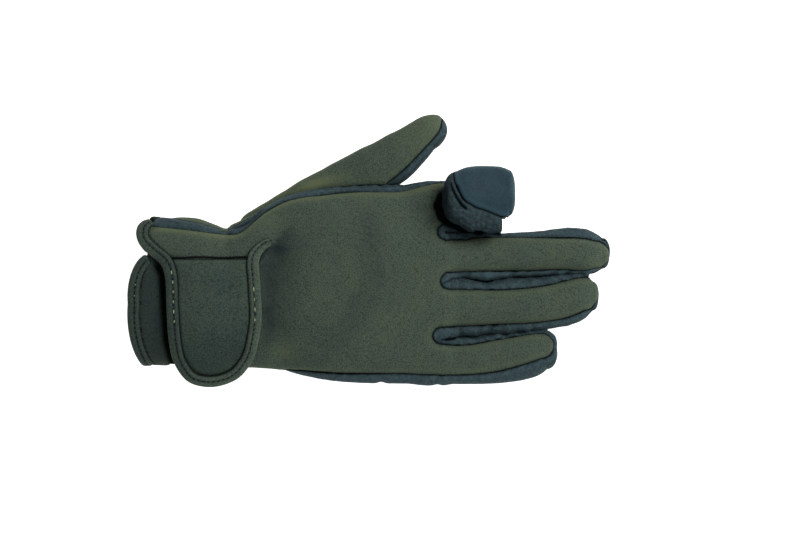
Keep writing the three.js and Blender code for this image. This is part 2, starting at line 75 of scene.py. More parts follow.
# Tables and places
class Rows:
    """A short table along x, read by a smooth curve through its rows."""

    STEP = 0.25

    def __init__(self, columns: str, rows: Sequence[Sequence[float]]) -> None:
        """Samples every column finely.

        Args:
            columns: The column names, x first.
            rows: One list of numbers for each row.
        """
        table = np.array(rows, float)
        self.first, self.last = table[0, 0], table[-1, 0]
        self.dense = np.arange(self.first, self.last + self.STEP, self.STEP)
        self.columns = {
            name: self._curve(table[:, 0], table[:, i])
            for i, name in enumerate(columns.split())
            if i
        }

    def _curve(self, x: Array, values: Array) -> Array:
        """Returns a column at every fine x, by a cubic through the rows.

        Args:
            x: The rows' places.
            values: The column's values in the rows.

        Returns:
            The column's fine values.
        """
        end = len(x) - 1
        before, after = np.maximum(np.arange(len(x)) - 1, 0), np.minimum(np.arange(len(x)) + 1, end)
        slope = (values[after] - values[before]) / (x[after] - x[before])
        i = np.clip(np.searchsorted(x, self.dense, "right") - 1, 0, end - 1)
        step = x[i + 1] - x[i]
        t = np.clip((self.dense - x[i]) / step, 0, 1)
        rise = (2 * t - 3) * t * t
        bend = step * t * (1 - t) * ((1 - t) * slope[i] - t * slope[i + 1])
        return (1 + rise) * values[i] - rise * values[i + 1] + bend

    def at(self, column: str, x: Array) -> Array:
        """Returns a column at x, constant past both ends."""
        return np.interp(x, self.dense, self.columns[column])


@dataclass(frozen=True)
class Place:
    """Where a sub-assembly's own frame lies in plan, and how it is turned in degrees."""

    x: float = 0.0
    y: float = 0.0
    turn: float = 0.0

    def world(self, points: Array) -> Array:
        """Turns points from this frame into the glove's frame.

        Args:
            points: Points in this frame.

        Returns:
            The same points in the glove's frame.
        """
        c, s = math.cos(math.radians(self.turn)), math.sin(math.radians(self.turn))
        x, y, z = points.T
        return np.column_stack([self.x + c * x - s * y, self.y + s * x + c * y, z])

    def local(self, points: Array) -> Array:
        """Turns points from the glove's frame into this frame.

        Args:
            points: Points in the glove's frame.

        Returns:
            The same points in this frame.
        """
        c, s = math.cos(math.radians(self.turn)), math.sin(math.radians(self.turn))
        x, y, z = points.T
        x, y = x - self.x, y - self.y
        return np.column_stack([c * x + s * y, -s * x + c * y, z])


def smooth_union(a: Array, b: Array, blend: float) -> Array:
    """Joins two distance fields with a fillet of about blend."""
    share = np.clip(0.5 + 0.5 * (b - a) / blend, 0, 1)
    return b * (1 - share) + a * share - blend * share * (1 - share)


def ripple(points: Array, length: float, seed: int, waves: int = 7) -> Array:
    """Returns soft random waves of about that length, between about -1 and 1.

    Args:
        points: The points.
        length: About how long a wave is.
        seed: Seed of the draw.
        waves: How many waves are added up.

    Returns:
        The waves' height at each point.
    """
    draw = np.random.default_rng(seed)
    total = np.zeros(len(points))
    for _ in range(waves):
        direction = draw.normal(size=points.shape[1])
        direction *= 2 * math.pi / (np.linalg.norm(direction) * length * draw.uniform(0.7, 1.6))
        total += np.sin(points @ direction + draw.uniform(0, 2 * math.pi))
    return total / math.sqrt(waves)


def bump(distance: Array, width: float) -> Array:
    """Returns a soft bell: 1 at distance 0, and near 0 past twice the width."""
    return np.exp(-((distance / width) ** 2))


def ramp(value: Array, start: float, end: float) -> Array:
    """Returns how far a value has come on its way from start to end, held between 0 and 1."""
    return np.clip((value - start) / (end - start), 0, 1)


def polyline_distance(points: Array, line: Sequence[Sequence[float]]) -> Array:
    """Returns how far points in plan are from a line of straight stretches.

    Args:
        points: The points.
        line: The line's points.

    Returns:
        The distance of each point.
    """
    corners = np.array(line, float)
    best = np.full(len(points), np.inf)
    for a, b in zip(corners[:-1], corners[1:]):
        span = b - a
        t = np.clip(((points[:, :2] - a) @ span) / (span @ span), 0, 1)
        away = points[:, :2] - a - t[:, None] * span
        best = np.minimum(best, np.hypot(away[:, 0], away[:, 1]))
    return best


def past_stroke(points: Array, stroke: Sequence[Sequence[float]]) -> Array:
    """Returns how far points in plan lie past a brush stroke's edge.

    Args:
        points: The points.
        stroke: The stroke's corners, each with its x, y and half width.

    Returns:
        The distance past the edge, less than 0 inside the stroke.
    """
    best = np.full(len(points), np.inf)
    for (ax, ay, a_half), (bx, by, b_half) in zip(stroke[:-1], stroke[1:]):
        span = np.array([bx - ax, by - ay])
        t = np.clip(((points[:, :2] - [ax, ay]) @ span) / (span @ span), 0, 1)
        away = points[:, :2] - [ax, ay] - t[:, None] * span
        best = np.minimum(best, np.hypot(away[:, 0], away[:, 1]) - a_half - t * (b_half - a_half))
    return best


def brushed(points: Array, stroke: Sequence[Sequence[float]], edge: float, width: float) -> Array:
    """Returns how strongly a brush stroke covers points: edge at its outline, and 1 less a width on."""
    return np.clip(edge - past_stroke(points, stroke) / width, 0, 1)


@dataclass
class Tube:
    """A tube lofted through a table's sections, with rounded ends."""

    rows: Rows
    tip: float
    start_tip: float = 0.0
    place: Place = field(default_factory=Place)

    def section(self, x: Array, inset: float = 0.0) -> tuple[Array, Array, Array, Array]:
        """Returns the middle, half width, floor and height at x, taken in by inset.

        Args:
            x: Places along the tube.
            inset: How far inside the surface.

        Returns:
            The four sizes.
        """
        floor = (
            self.rows.at("floor", x)
            if "floor" in self.rows.columns
            else np.full_like(np.asarray(x, float), -PALM_FLAT)
        )
        return (
            self.rows.at("y", x),
            self.rows.at("half", x) - inset,
            floor + inset,
            self.rows.at("height", x) - 2 * inset,
        )

    def distance(self, x: Array, y: Array, z: Array, inset: float = 0.0) -> Array:
        """Returns the distance to the tube's surface, less than 0 inside, in its own frame.

        Args:
            x: Places in x.
            y: Places in y.
            z: Places in z.
            inset: How far inside the surface.

        Returns:
            The distance at each place.
        """
        middle, half, floor, height = self.section(x, inset)
        crest = floor + CREST * height
        end = np.zeros_like(np.asarray(x, float))
        reach_x = np.ones_like(end)
        for past, tip in ((x - self.rows.last, self.tip), (self.rows.first - x, self.start_tip)):
            if tip > 0:
                end = np.where(past > 0, past / (tip - inset), end)
                reach_x = np.where(past > 0, tip - inset, reach_x)

        def part(power: float, reach: Array) -> Array:
            """Returns the distance as one half of the section gives it.

            Args:
                power: How full this half is.
                reach: Its height.

            Returns:
                The distance.
            """
            across, up = np.abs(y - middle) / half, np.abs(z - crest) / reach
            r = (across**power + up**power) ** (1 / power) + 1e-6
            slope = ((across / r) ** (power - 1) / half) ** 2
            slope = slope + ((up / r) ** (power - 1) / reach) ** 2
            whole = (r**TIP_POWER + end**2) ** (1 / TIP_POWER)
            along = 2 / TIP_POWER * end / reach_x / whole ** (TIP_POWER - 1)
            return (whole - 1) / np.sqrt((r / whole) ** (2 * TIP_POWER - 2) * slope + along**2)

        return np.where(z > crest, part(DOME, (1 - CREST) * height), part(BASE, CREST * height))


@dataclass
class Band:
    """A band in plan between a lower and an upper edge, with a half-round tip."""

    rows: Rows
    tip: float = 0.0

    def inside(self, x: Array, y: Array) -> Array:
        """Returns how far a place lies inside the band, less than 0 outside.

        Args:
            x: Places in x.
            y: Places in y.

        Returns:
            The depth at each place.
        """
        low, high = self.rows.at("low", x), self.rows.at("high", x)
        depth = np.minimum(y - low, high - y)
        past = x - self.rows.last
        if self.tip > 0:
            half, middle = (high - low) / 2, (high + low) / 2
            round_end = 1 - np.hypot((y - middle) / half, past / self.tip)
            depth = np.where(past > 0, round_end * self.tip, depth)
        else:
            depth = np.minimum(depth, -past)
        return depth


# Skins: triangle meshes in numpy, in millimetres
@dataclass
class Skin:
    """An open or closed mesh of triangles, with a number at each point by name."""

    points: Array
    faces: Array
    marks: dict[str, Array] = field(default_factory=dict)

    def edges(self) -> Array:
        """Returns each edge once.

        Returns:
            Two numbers of points for each edge.
        """
        pairs = np.sort(self.faces[:, [0, 1, 1, 2, 2, 0]].reshape(-1, 2), axis=1)
        keys = np.unique(pairs[:, 0].astype(np.int64) * len(self.points) + pairs[:, 1])
        return np.column_stack([keys // len(self.points), keys % len(self.points)])

    def averaged(self, values: Array, rounds: int = 1) -> Array:
        """Returns values averaged with those of the neighbouring points.

        Args:
            values: A number or a row of them at each point.
            rounds: How often.

        Returns:
            The averaged values, a row at each point.
        """
        edges, count = self.edges(), len(self.points)
        degree = np.bincount(edges.ravel(), minlength=count)[:, None] + 1e-9
        values = values.reshape(count, -1)
        for _ in range(rounds):
            total = np.column_stack(
                [
                    np.bincount(edges[:, 0], column[edges[:, 1]], count)
                    + np.bincount(edges[:, 1], column[edges[:, 0]], count)
                    for column in values.T
                ]
            )
            values = 0.5 * values + 0.5 * total / degree
        return values

    def normals(self) -> Array:
        """Returns outward unit normals at the points, weighted by area.

        Returns:
            A unit vector at each point.
        """
        a, b, c = (self.points[self.faces[:, i]] for i in range(3))
        across = np.cross(b - a, c - a)
        total = np.column_stack(
            [
                sum(np.bincount(self.faces[:, i], across[:, axis], len(self.points)) for i in range(3))
                for axis in range(3)
            ]
        )
        return total / (np.linalg.norm(total, axis=1, keepdims=True) + 1e-12)

    def rim(self) -> Array:
        """Returns the open edges, in the direction that their faces run.

        Returns:
            Two numbers of points for each edge.
        """
        pairs = self.faces[:, [0, 1, 1, 2, 2, 0]].reshape(-1, 2).astype(np.int64)
        forward = pairs[:, 0] * len(self.points) + pairs[:, 1]
        backward = pairs[:, 1] * len(self.points) + pairs[:, 0]
        return pairs[~np.isin(forward, backward)]

    def lines(self) -> list[Array]:
        """Returns the open edges as rows of points.

        Returns:
            The points of each line.
        """
        after = {int(a): int(b) for a, b in self.rim()}
        rows = []
        while after:
            start, here = after.popitem()
            row = [start, here]
            while here in after:
                here = after.pop(here)
                row.append(here)
            rows.append(self.points[row])
        return rows

    def rim_distance(self) -> Array:
        """Returns how far each point is from the nearest open edge.

        Returns:
            The distance at each point.
        """
        rim = self.rim()
        middles = (self.points[rim[:, 0]] + self.points[rim[:, 1]]) / 2
        targets = np.vstack([self.points[np.unique(rim)], middles])
        tree = KDTree(len(targets))
        for i, point in enumerate(targets):
            tree.insert(point, i)
        tree.balance()
        return np.array([tree.find(point)[2] for point in self.points])

    def tidied(self) -> "Skin":
        """Returns the skin without points that no face uses.

        Returns:
            The smaller skin.
        """
        used = np.unique(self.faces)
        index = np.zeros(len(self.points), int)
        index[used] = np.arange(len(used))
        marks = {name: values[used] for name, values in self.marks.items()}
        return Skin(self.points[used], index[self.faces], marks)

    def clipped(self, value: Array) -> "Skin":
        """Returns the part where a value at the points is above 0, cut along its zero line.

        Args:
            value: The value at each point.

        Returns:
            The part that is kept.
        """
        keep = value > 0
        state = keep[self.faces]
        total = state.sum(axis=1)
        whole = self.faces[total == 3]
        count = len(self.points)

        def turned(chosen: Array, alone: bool) -> Array:
            """Turns faces so that their one point of that kind comes first.

            Args:
                chosen: Which faces.
                alone: Whether their one point is kept.

            Returns:
                The faces' points, the lone one first.
            """
            faces, kinds = self.faces[chosen], state[chosen]
            shift = np.argmax(kinds == alone, axis=1)
            order = (shift[:, None] + np.arange(3)) % 3
            return np.take_along_axis(faces, order, axis=1)

        one, two = turned(total == 1, True), turned(total == 2, False)
        cut = np.vstack([one[:, [0, 1]], one[:, [0, 2]], two[:, [0, 1]], two[:, [0, 2]]])
        ordered = np.sort(cut, axis=1).astype(np.int64)
        keys, which = np.unique(ordered[:, 0] * count + ordered[:, 1], return_inverse=True)
        a, b = keys // count, keys % count
        share = np.clip(value[a] / (value[a] - value[b]), 0.02, 0.98)
        which = which.reshape(-1) + count
        n, m = len(one), len(two)
        one_b, one_c = which[:n], which[n : 2 * n]
        two_b, two_c = which[2 * n : 2 * n + m], which[2 * n + m :]
        faces = np.vstack(
            [
                whole,
                np.column_stack([one[:, 0], one_b, one_c]),
                np.column_stack([two_b, two[:, 1], two[:, 2]]),
                np.column_stack([two_b, two[:, 2], two_c]),
            ]
        )
        mix = share[:, None]
        points = np.vstack([self.points, self.points[a] * (1 - mix) + self.points[b] * mix])
        marks = {
            name: np.concatenate([v, v[a] * (1 - share) + v[b] * share])
            for name, v in self.marks.items()
        }
        return Skin(points, faces.astype(int), marks).tidied()

    def largest(self, least: int = 60) -> "Skin":
        """Returns the skin without loose islands of fewer points than least.

        Args:
            least: The fewest points.

        Returns:
            The skin without the islands.
        """
        label = np.arange(len(self.points))
        edges = self.edges()
        while True:
            low = np.minimum(label[edges[:, 0]], label[edges[:, 1]])
            fresh = label.copy()
            np.minimum.at(fresh, edges[:, 0], low)
            np.minimum.at(fresh, edges[:, 1], low)
            fresh = fresh[fresh]
            if np.array_equal(fresh, label):
                break
            label = fresh
        size = np.bincount(label, minlength=len(label))[label]
        return Skin(self.points, self.faces[size[self.faces[:, 0]] >= least], self.marks).tidied()

    def walled(self, inner: Array) -> "Skin":
        """Returns a closed body between this skin and the same skin moved to inner.

        Args:
            inner: Where each point lies on the other side.

        Returns:
            The closed body.
        """
        count, rim = len(self.points), self.rim()
        a, b = rim[:, 0], rim[:, 1]
        faces = np.vstack(
            [
                self.faces,
                self.faces[:, ::-1] + count,
                np.column_stack([b, a, a + count]),
                np.column_stack([b, a + count, b + count]),
            ]
        )
        marks = {name: np.concatenate([v, v]) for name, v in self.marks.items()}
        return Skin(np.vstack([self.points, inner]), faces, marks)


def net(distance: Distance, low: Sequence[float], high: Sequence[float], pitch: float) -> Skin:
    """Draws a net over the zero surface of a distance field.

    Args:
        distance: The field, less than 0 inside.
        low: Lowest corner of the space to search.
        high: Highest corner of that space.
        pitch: Size of a mesh.

    Returns:
        The surface as triangles that face outwards.
    """
    axes = [np.arange(a, b + pitch, pitch) for a, b in zip(low, high)]
    shape = tuple(len(axis) for axis in axes)
    x, y, z = axes[0][:, None, None], axes[1][None, :, None], axes[2][None, None, :]
    values = np.broadcast_to(distance(x, y, z), shape)
    cells = tuple(n - 1 for n in shape)
    total = np.zeros((int(np.prod(cells)), 3))
    hits = np.zeros(int(np.prod(cells)))
    quads = []
    for axis in range(3):
        u, v = (axis + 1) % 3, (axis + 2) % 3
        ahead = [slice(None)] * 3
        behind = [slice(None)] * 3
        ahead[axis], behind[axis] = slice(1, None), slice(None, -1)
        a, b = values[tuple(behind)], values[tuple(ahead)]
        at = np.argwhere((a < 0) != (b < 0))
        va, vb = a[tuple(at.T)], b[tuple(at.T)]
        place = at.astype(float)
        place[:, axis] += va / (va - vb)
        inner = np.all([(at[:, w] > 0) & (at[:, w] < cells[w]) for w in (u, v)], axis=0)
        at, place, va = at[inner], place[inner], va[inner]
        corners = []
        for du, dv in ((1, 1), (0, 1), (0, 0), (1, 0)):
            cell = at.copy()
            cell[:, u] -= du
            cell[:, v] -= dv
            flat = np.ravel_multi_index(tuple(cell.T), cells)
            corners.append(flat)
            hits += np.bincount(flat, minlength=len(hits))
            for w in range(3):
                total[:, w] += np.bincount(flat, place[:, w], len(hits))
        quad = np.column_stack(corners)
        quads.append(np.where((va < 0)[:, None], quad, quad[:, ::-1]))
    quads = np.vstack(quads)
    used = np.unique(quads)
    index = np.zeros(len(hits), int)
    index[used] = np.arange(len(used))
    quads = index[quads]
    points = np.array(low) + pitch * total[used] / hits[used, None]
    skin = Skin(points, np.vstack([quads[:, [0, 1, 2]], quads[:, [0, 2, 3]]]))
    return settled(skin, distance)


def settled(skin: Skin, distance: Distance, rounds: int = 3) -> Skin:
    """Spreads a net's points evenly and brings them back onto the zero surface.

    Args:
        skin: The skin.
        distance: The field, less than 0 inside.
        rounds: How often.

    Returns:
        The net, settled.
    """
    step, most = 0.05, 0.8  # how far off the slope is taken, and the longest move, in mm
    for _ in range(rounds):
        spread = skin.averaged(skin.points, 2)
        x, y, z = spread.T
        here = distance(x, y, z)
        slope = np.column_stack(
            [
                distance(x + step, y, z) - here,
                distance(x, y + step, z) - here,
                distance(x, y, z + step) - here,
            ]
        ) / step
        move = here[:, None] * slope / (np.sum(slope**2, axis=1, keepdims=True) + 1e-3)
        skin = Skin(spread - np.clip(move, -most, most), skin.faces, skin.marks)
    return skin


# Finishes
def linear(code: str, alpha: float = 1.0) -> tuple[float, float, float, float]:
    """Turns an sRGB hex colour into linear values.

    Args:
        code: The colour as #RRGGBB.
        alpha: Its opacity.

    Returns:
        Red, green, blue and opacity.
    """
    parts = [int(code[i : i + 2], 16) / 255 for i in (1, 3, 5)]
    red, green, blue = (p / 12.92 if p <= 0.04045 else ((p + 0.055) / 1.055) ** 2.4 for p in parts)
    return red, green, blue, alpha


def add(
    tree: bpy.types.NodeTree, kind: str, inputs: dict[str | int, object] | None = None, **settings: object
) -> bpy.types.Node:
    """Adds a node with its settings and links.

    Args:
        tree: The node tree.
        kind: The node's type.
        inputs: Values or sockets for its inputs, by name or number.
        **settings: The node's own properties.

    Returns:
        The new node.
    """
    made = tree.nodes.new(kind)
    for name, value in settings.items():
        setattr(made, name, value)
    for key, value in (inputs or {}).items():
        if isinstance(value, bpy.types.NodeSocket):
            tree.links.new(value, made.inputs[key])
        else:
            made.inputs[key].default_value = value
    return made


MIX_FACTOR, MIX_A, MIX_B, MIX_RESULT = 0, 6, 7, 2  # a colour mix node's sockets
MARKS = ("rim", "shade", "seam")  # numbers that each piece carries for its material: painted highlight, painted shade, and dark seam lines with painted shade in folds and gaps


@dataclass(frozen=True)
class Cloth:
    """A cloth or leather finish: grain, mottling, dark seams that carry painted shade, and painted highlights
    on rolled edges.
    """

    name: str
    base: str
    dark: str
    light: str
    # colour of the painted highlight on rolled edges and lit places
    rim: str
    # colour of the dark seam lines: dark thread, with painted shade in folds and gaps
    seam: str
    grain: float  # size of the grain in mm
    mottle: float  # size of the cloudy patches in mm
    relief: float  # how deep the grain is, in mm
    speckle: float  # how much the grain shows in the colour
    roughness: float
    sheen: float
    sheen_tint: str
    rim_share: float = 0.5
    cloudy: float = 0.45
    gloss: float = 0.12
    shade: str = "#0F1B22"  # bluish, for painted shade in soft hollows and for darker tones

    COOL = (0.95, 0.99, 1.05, 1.0)  # tint of the grain's low places
    WARM = (1.05, 1.0, 0.92, 1.0)  # and of its high ones

    def build(self) -> bpy.types.Material:
        """Returns the material.

        Returns:
            A material that reads the marks too.
        """
        material = bpy.data.materials.new(self.name)
        material.use_nodes = True
        tree = material.node_tree
        tree.nodes.clear()
        place = add(tree, "ShaderNodeTexCoord").outputs["Object"]
        cells = add(
            tree,
            "ShaderNodeTexVoronoi",
            {"Vector": place, "Scale": 1 / (self.grain * MM), "Randomness": 0.75},
        ).outputs["Distance"]
        fibre = add(
            tree,
            "ShaderNodeTexNoise",
            {"Vector": place, "Scale": 1 / (1.1 * self.grain * MM), "Detail": 3.0, "Roughness": 0.65},
        ).outputs[0]
        cloud = add(
            tree,
            "ShaderNodeTexNoise",
            {"Vector": place, "Scale": 1 / (self.mottle * MM), "Detail": 2.5, "Roughness": 0.55},
        ).outputs[0]
        grain = add(tree, "ShaderNodeMath", {0: fibre, 1: cells}, operation="SUBTRACT").outputs[0]
        speck = add(
            tree,
            "ShaderNodeMapRange",
            {"Value": grain, "From Min": -0.35, "From Max": 0.55, "To Min": 0.0, "To Max": 1.0},
        ).outputs[0]
        patch = add(
            tree,
            "ShaderNodeMapRange",
            {"Value": cloud, "From Min": 0.32, "From Max": 0.68, "To Min": 0.0, "To Max": 1.0},
        ).outputs[0]
        tone = add(
            tree,
            "ShaderNodeMix",
            {MIX_FACTOR: patch, MIX_A: linear(self.dark), MIX_B: linear(self.light)},
            data_type="RGBA",
        ).outputs[MIX_RESULT]
        mixed = add(
            tree,
            "ShaderNodeMix",
            {MIX_FACTOR: self.cloudy, MIX_A: linear(self.base), MIX_B: tone},
            data_type="RGBA",
        ).outputs[MIX_RESULT]
        fleck = add(
            tree,
            "ShaderNodeMix",
            {
                MIX_FACTOR: speck,
                MIX_A: tuple((1 - self.speckle) * part for part in self.COOL),
                MIX_B: tuple((1 + self.speckle) * part for part in self.WARM),
            },
            data_type="RGBA",
        ).outputs[MIX_RESULT]
        colour = add(tree, "ShaderNodeVectorMath", {0: mixed, 1: fleck}, operation="MULTIPLY").outputs[0]
        # The seam comes last, because its factor takes away the sheen too
        for mark, code, share in (
            ("rim", self.rim, self.rim_share),
            ("shade", self.shade, 1.0),
            ("seam", self.seam, 0.98),
        ):
            value = add(tree, "ShaderNodeAttribute", attribute_name=mark).outputs["Fac"]
            factor = add(
                tree, "ShaderNodeMath", {0: value, 1: share}, operation="MULTIPLY", use_clamp=True
            ).outputs[0]
            colour = add(
                tree,
                "ShaderNodeMix",
                {MIX_FACTOR: factor, MIX_A: colour, MIX_B: linear(code)},
                data_type="RGBA",
            ).outputs[MIX_RESULT]
        sheen, gloss = (
            add(tree, "ShaderNodeMapRange", {"Value": factor, "To Min": most, "To Max": 0.0}).outputs[0]
            for most in (self.sheen, self.gloss)
        )
        raised = add(
            tree, "ShaderNodeBump", {"Height": grain, "Distance": self.relief * MM, "Strength": 1.0}
        ).outputs[0]
        shader = add(
            tree,
            "ShaderNodeBsdfPrincipled",
            {
                "Base Color": colour,
                "Roughness": self.roughness,
                "IOR": 1.45,
                "Specular IOR Level": gloss,
                "Sheen Weight": sheen,
                "Sheen Roughness": 0.35,
                "Sheen Tint": linear(self.sheen_tint),
                "Normal": raised,
            },
        )
        add(tree, "ShaderNodeOutputMaterial", {"Surface": shader.outputs[0]})
        return material


class Finish(Enum):
    """The glove's finishes."""

    # Knitted nylon jersey laminated on neoprene foam: matt, finely speckled by its loops, with a
    # faint fuzz that catches light at the edges. A real loop is 0.5 mm, drawn at 0.64 mm to show.
    NEOPRENE = Cloth(
        name="olive_knit_neoprene",
        base="#434F46", dark="#3C4842", light="#4D5846", rim="#6E7654", seam="#020303",
        grain=0.64, mottle=15.0, relief=0.18, speckle=0.44, cloudy=0.32,
        roughness=0.92, sheen=0.09, sheen_tint="#C0C07E", rim_share=0.60,
    )
    # The same cloth on the tab, pressed and a little greyer.
    TAB = Cloth(
        name="olive_knit_tab",
        base="#384540", dark="#32403D", light="#404E43", rim="#4D5844", seam="#020303",
        grain=0.75, mottle=14.0, relief=0.18, speckle=0.46,
        roughness=0.92, sheen=0.10, sheen_tint="#C0C07E", rim_share=0.20,
    )
    # Brushed microfibre synthetic leather: short nap that lies in cloudy patches, blue-black.
    SUEDE = Cloth(
        name="navy_brushed_microfibre",
        base="#2E3D41", dark="#1D282C", light="#405257", rim="#465A60", seam="#020304",
        grain=0.8, mottle=2.4, relief=0.16, speckle=0.40,
        roughness=0.9, sheen=0.10, sheen_tint="#8FA3B0", rim_share=0.22,
    )
    # Smooth coated side of the same microfibre: close grain, dull satin, faint nap.
    PAD = Cloth(
        name="navy_smooth_microfibre",
        base="#1B313B", dark="#172B35", light="#223C46", rim="#2E4C55", seam="#020304",
        grain=0.7, mottle=8.0, relief=0.05, speckle=0.30,
        roughness=0.62, sheen=0.16, sheen_tint="#8FB0BE", rim_share=0.35, gloss=0.25,
    )
    # Folded elastic binding: close knit tape, matt.
    TAPE = Cloth(
        name="olive_binding_tape",
        base="#44514A", dark="#3D4A45", light="#4E5B4D", rim="#5F6A50", seam="#020303",
        grain=0.8, mottle=6.0, relief=0.16, speckle=0.42,
        roughness=0.92, sheen=0.10, sheen_tint="#C0C07E", rim_share=0.20,
    )
    # Spun polyester sewing thread, dark: a low sheen.
    DARK_THREAD = Cloth(
        name="dark_sewing_thread",
        base="#050707", dark="#030404", light="#0A0D0E", rim="#0A0D0E", seam="#040505",
        grain=0.4, mottle=2.0, relief=0.03, speckle=0.1,
        roughness=0.6, sheen=0.1, sheen_tint="#8FA3B0", rim_share=0.0,
    )
    # The same thread painted light olive yellow where it catches the light: a painted highlight.
    LIT_THREAD = Cloth(
        name="lit_sewing_thread",
        base="#A3A683", dark="#8E9274", light="#B9BB98", rim="#B9BB98", seam="#5A5D48",
        grain=0.4, mottle=2.0, relief=0.03, speckle=0.1,
        roughness=0.6, sheen=0.1, sheen_tint="#C9C9A8", rim_share=0.0,
    )


class Wardrobe:
    """Builds each finish once."""

    def __init__(self) -> None:
        """Starts with no material."""
        self.made: dict[Finish, bpy.types.Material] = {}

    def material(self, finish: Finish) -> bpy.types.Material:
        """Returns the finish's material.

        Args:
            finish: The finish.

        Returns:
            Its one material.
        """
        if finish not in self.made:
            self.made[finish] = finish.value.build()
        return self.made[finish]


WARDROBE = Wardrobe()


def piece(skin: Skin, name: str, finish: Finish, slot: str, *nodes: str) -> bpy.types.Object:
    """Makes a skin an object of the scene, dressed and riding on the glove.

    Args:
        skin: The mesh in millimetres.
        name: The piece's name.
        finish: What it is made of.
        slot: The record's material slot.
        *nodes: The CAD nodes that it replaces.

    Returns:
        The object.
    """
    mesh = bpy.data.meshes.new(name)
    mesh.vertices.add(len(skin.points))
    mesh.vertices.foreach_set("co", (skin.points * MM).ravel())
    mesh.loops.add(3 * len(skin.faces))
    mesh.loops.foreach_set("vertex_index", skin.faces.ravel())
    mesh.polygons.add(len(skin.faces))
    mesh.polygons.foreach_set("loop_start", np.arange(0, 3 * len(skin.faces), 3))
    mesh.update(calc_edges=True)
    mesh.polygons.foreach_set("use_smooth", np.ones(len(skin.faces), bool))
    for mark in MARKS:
        layer = mesh.attributes.new(mark, "FLOAT", "POINT")
        layer.data.foreach_set("value", skin.marks.get(mark, np.zeros(len(skin.points))))
    mesh.materials.append(WARDROBE.material(finish))
    made = bpy.data.objects.new(name, mesh)
    bpy.context.scene.collection.objects.link(made)
    return dressed(made, slot, *nodes)


def dressed(made: bpy.types.Object, slot: str, *nodes: str) -> bpy.types.Object:
    """Rides an object on the glove and hides the CAD nodes that it replaces.

    Args:
        made: The object.
        slot: The record's material slot; not used.
        *nodes: The CAD nodes that it replaces.

    Returns:
        The same object.
    """
    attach(made, BODY)
    if nodes:
        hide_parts(*nodes)
    LOG.info("%s: %d faces", made.name, len(made.data.polygons))
    return made


@dataclass(frozen=True)
class Sewing:
    """How a panel's edge goes down into its seam, in mm."""

    drop: float = 0.6
    width: float = 1.3
    puff: float = 0.0
    line: float = 0.45  # half width of the dark seam line: dark thread with painted shade in its crease
    painted_highlight: float = 1.0  # how much painted highlight the rolled edge gets
    wall: float = WALL

    SIDE_SHARE = 0.25  # how much of the roll an upright side gets
    FULL_SLOPE = 1.6  # how soon a slope gets the whole roll
    PUFF_REACH = 3.0  # where the puff is full, in widths
    HIGHLIGHT_AT = 1.9  # where the painted highlight lies, in widths

    def sewn(
        self,
        skin: Skin,
        shape: Callable[[Array, Array], Array] | None = None,
        fold: Callable[[Array, Array], Array] | None = None,
        shade: Callable[[Array], Array] | None = None,
    ) -> Skin:
        """Returns a panel with its edges rolled down and its wall closed.

        Args:
            skin: The open panel.
            shape: Gives how far a point rises, from the points and their rim distance.
            fold: Gives how black a point is painted where shade falls in a fold or gap, from the same.
            shade: Gives how far a point is painted towards the shade colour, from the points.

        Returns:
            The closed panel.
        """
        away = skin.rim_distance()
        normals = skin.averaged(skin.normals(), 3)
        normals /= np.linalg.norm(normals, axis=1, keepdims=True)
        slope = np.clip(self.FULL_SLOPE * np.abs(normals[:, 2]), 0, 1)
        facing = self.SIDE_SHARE + (1 - self.SIDE_SHARE) * slope
        puffed = self.puff * (1 - bump(away, self.PUFF_REACH * self.width))
        rise = puffed - self.drop * facing * bump(away, self.width)
        if shape is not None:
            rise = rise + shape(skin.points, away)
        outer = skin.points + rise[:, None] * normals
        outer[:, 2] = np.maximum(outer[:, 2], 0.0)
        inner = skin.points - self.wall * normals
        inner[:, 2] = np.maximum(inner[:, 2], 0.0)
        # The seam line is dark thread with painted shade in its crease; the rim mark is a painted highlight
        # on the rolled edge
        marks = {
            "seam": bump(away, self.line),
            "rim": self.painted_highlight * bump(away - self.HIGHLIGHT_AT * self.width, self.width),
        }
        if fold is not None:
            marks["seam"] = np.maximum(marks["seam"], np.clip(fold(skin.points, away), 0, 1))
        if shade is not None:
            marks["shade"] = np.clip(shade(skin.points), 0, 1)
        return Skin(outer, skin.faces, marks).walled(inner)


# The hand with its fingers
@dataclass(frozen=True)
class Shades:
    """How strong each painted shade and highlight on the back is, and how much darker the flap and the band
    are, from 0 to 1.
    """

    broad: float = 0.22  # beside the whole tab
    core: float = 0.44  # in the dent
    core_low: float = 0.14  # more of it towards the little finger
    uneven: float = 0.11
    slack: float = 0.19
    hook: float = 0.72
    # darker over the flap left of the tab
    flap: float = 0.62
    band: float = 0.07  # darker over the band above the tab
    edge: float = 0.40  # painted highlight along the upper edge
    edge_wrist: float = 0.14  # and more of it at the wrist


@dataclass(frozen=True)
class Reliefs:
    """How deep the back is pressed in and how high its waves are, in mm."""

    swell: float = 0.35
    fine: float = 0.07
    dent: float = 1.8
    beside_tab: float = 1.2
    beside_tip: float = 2.0


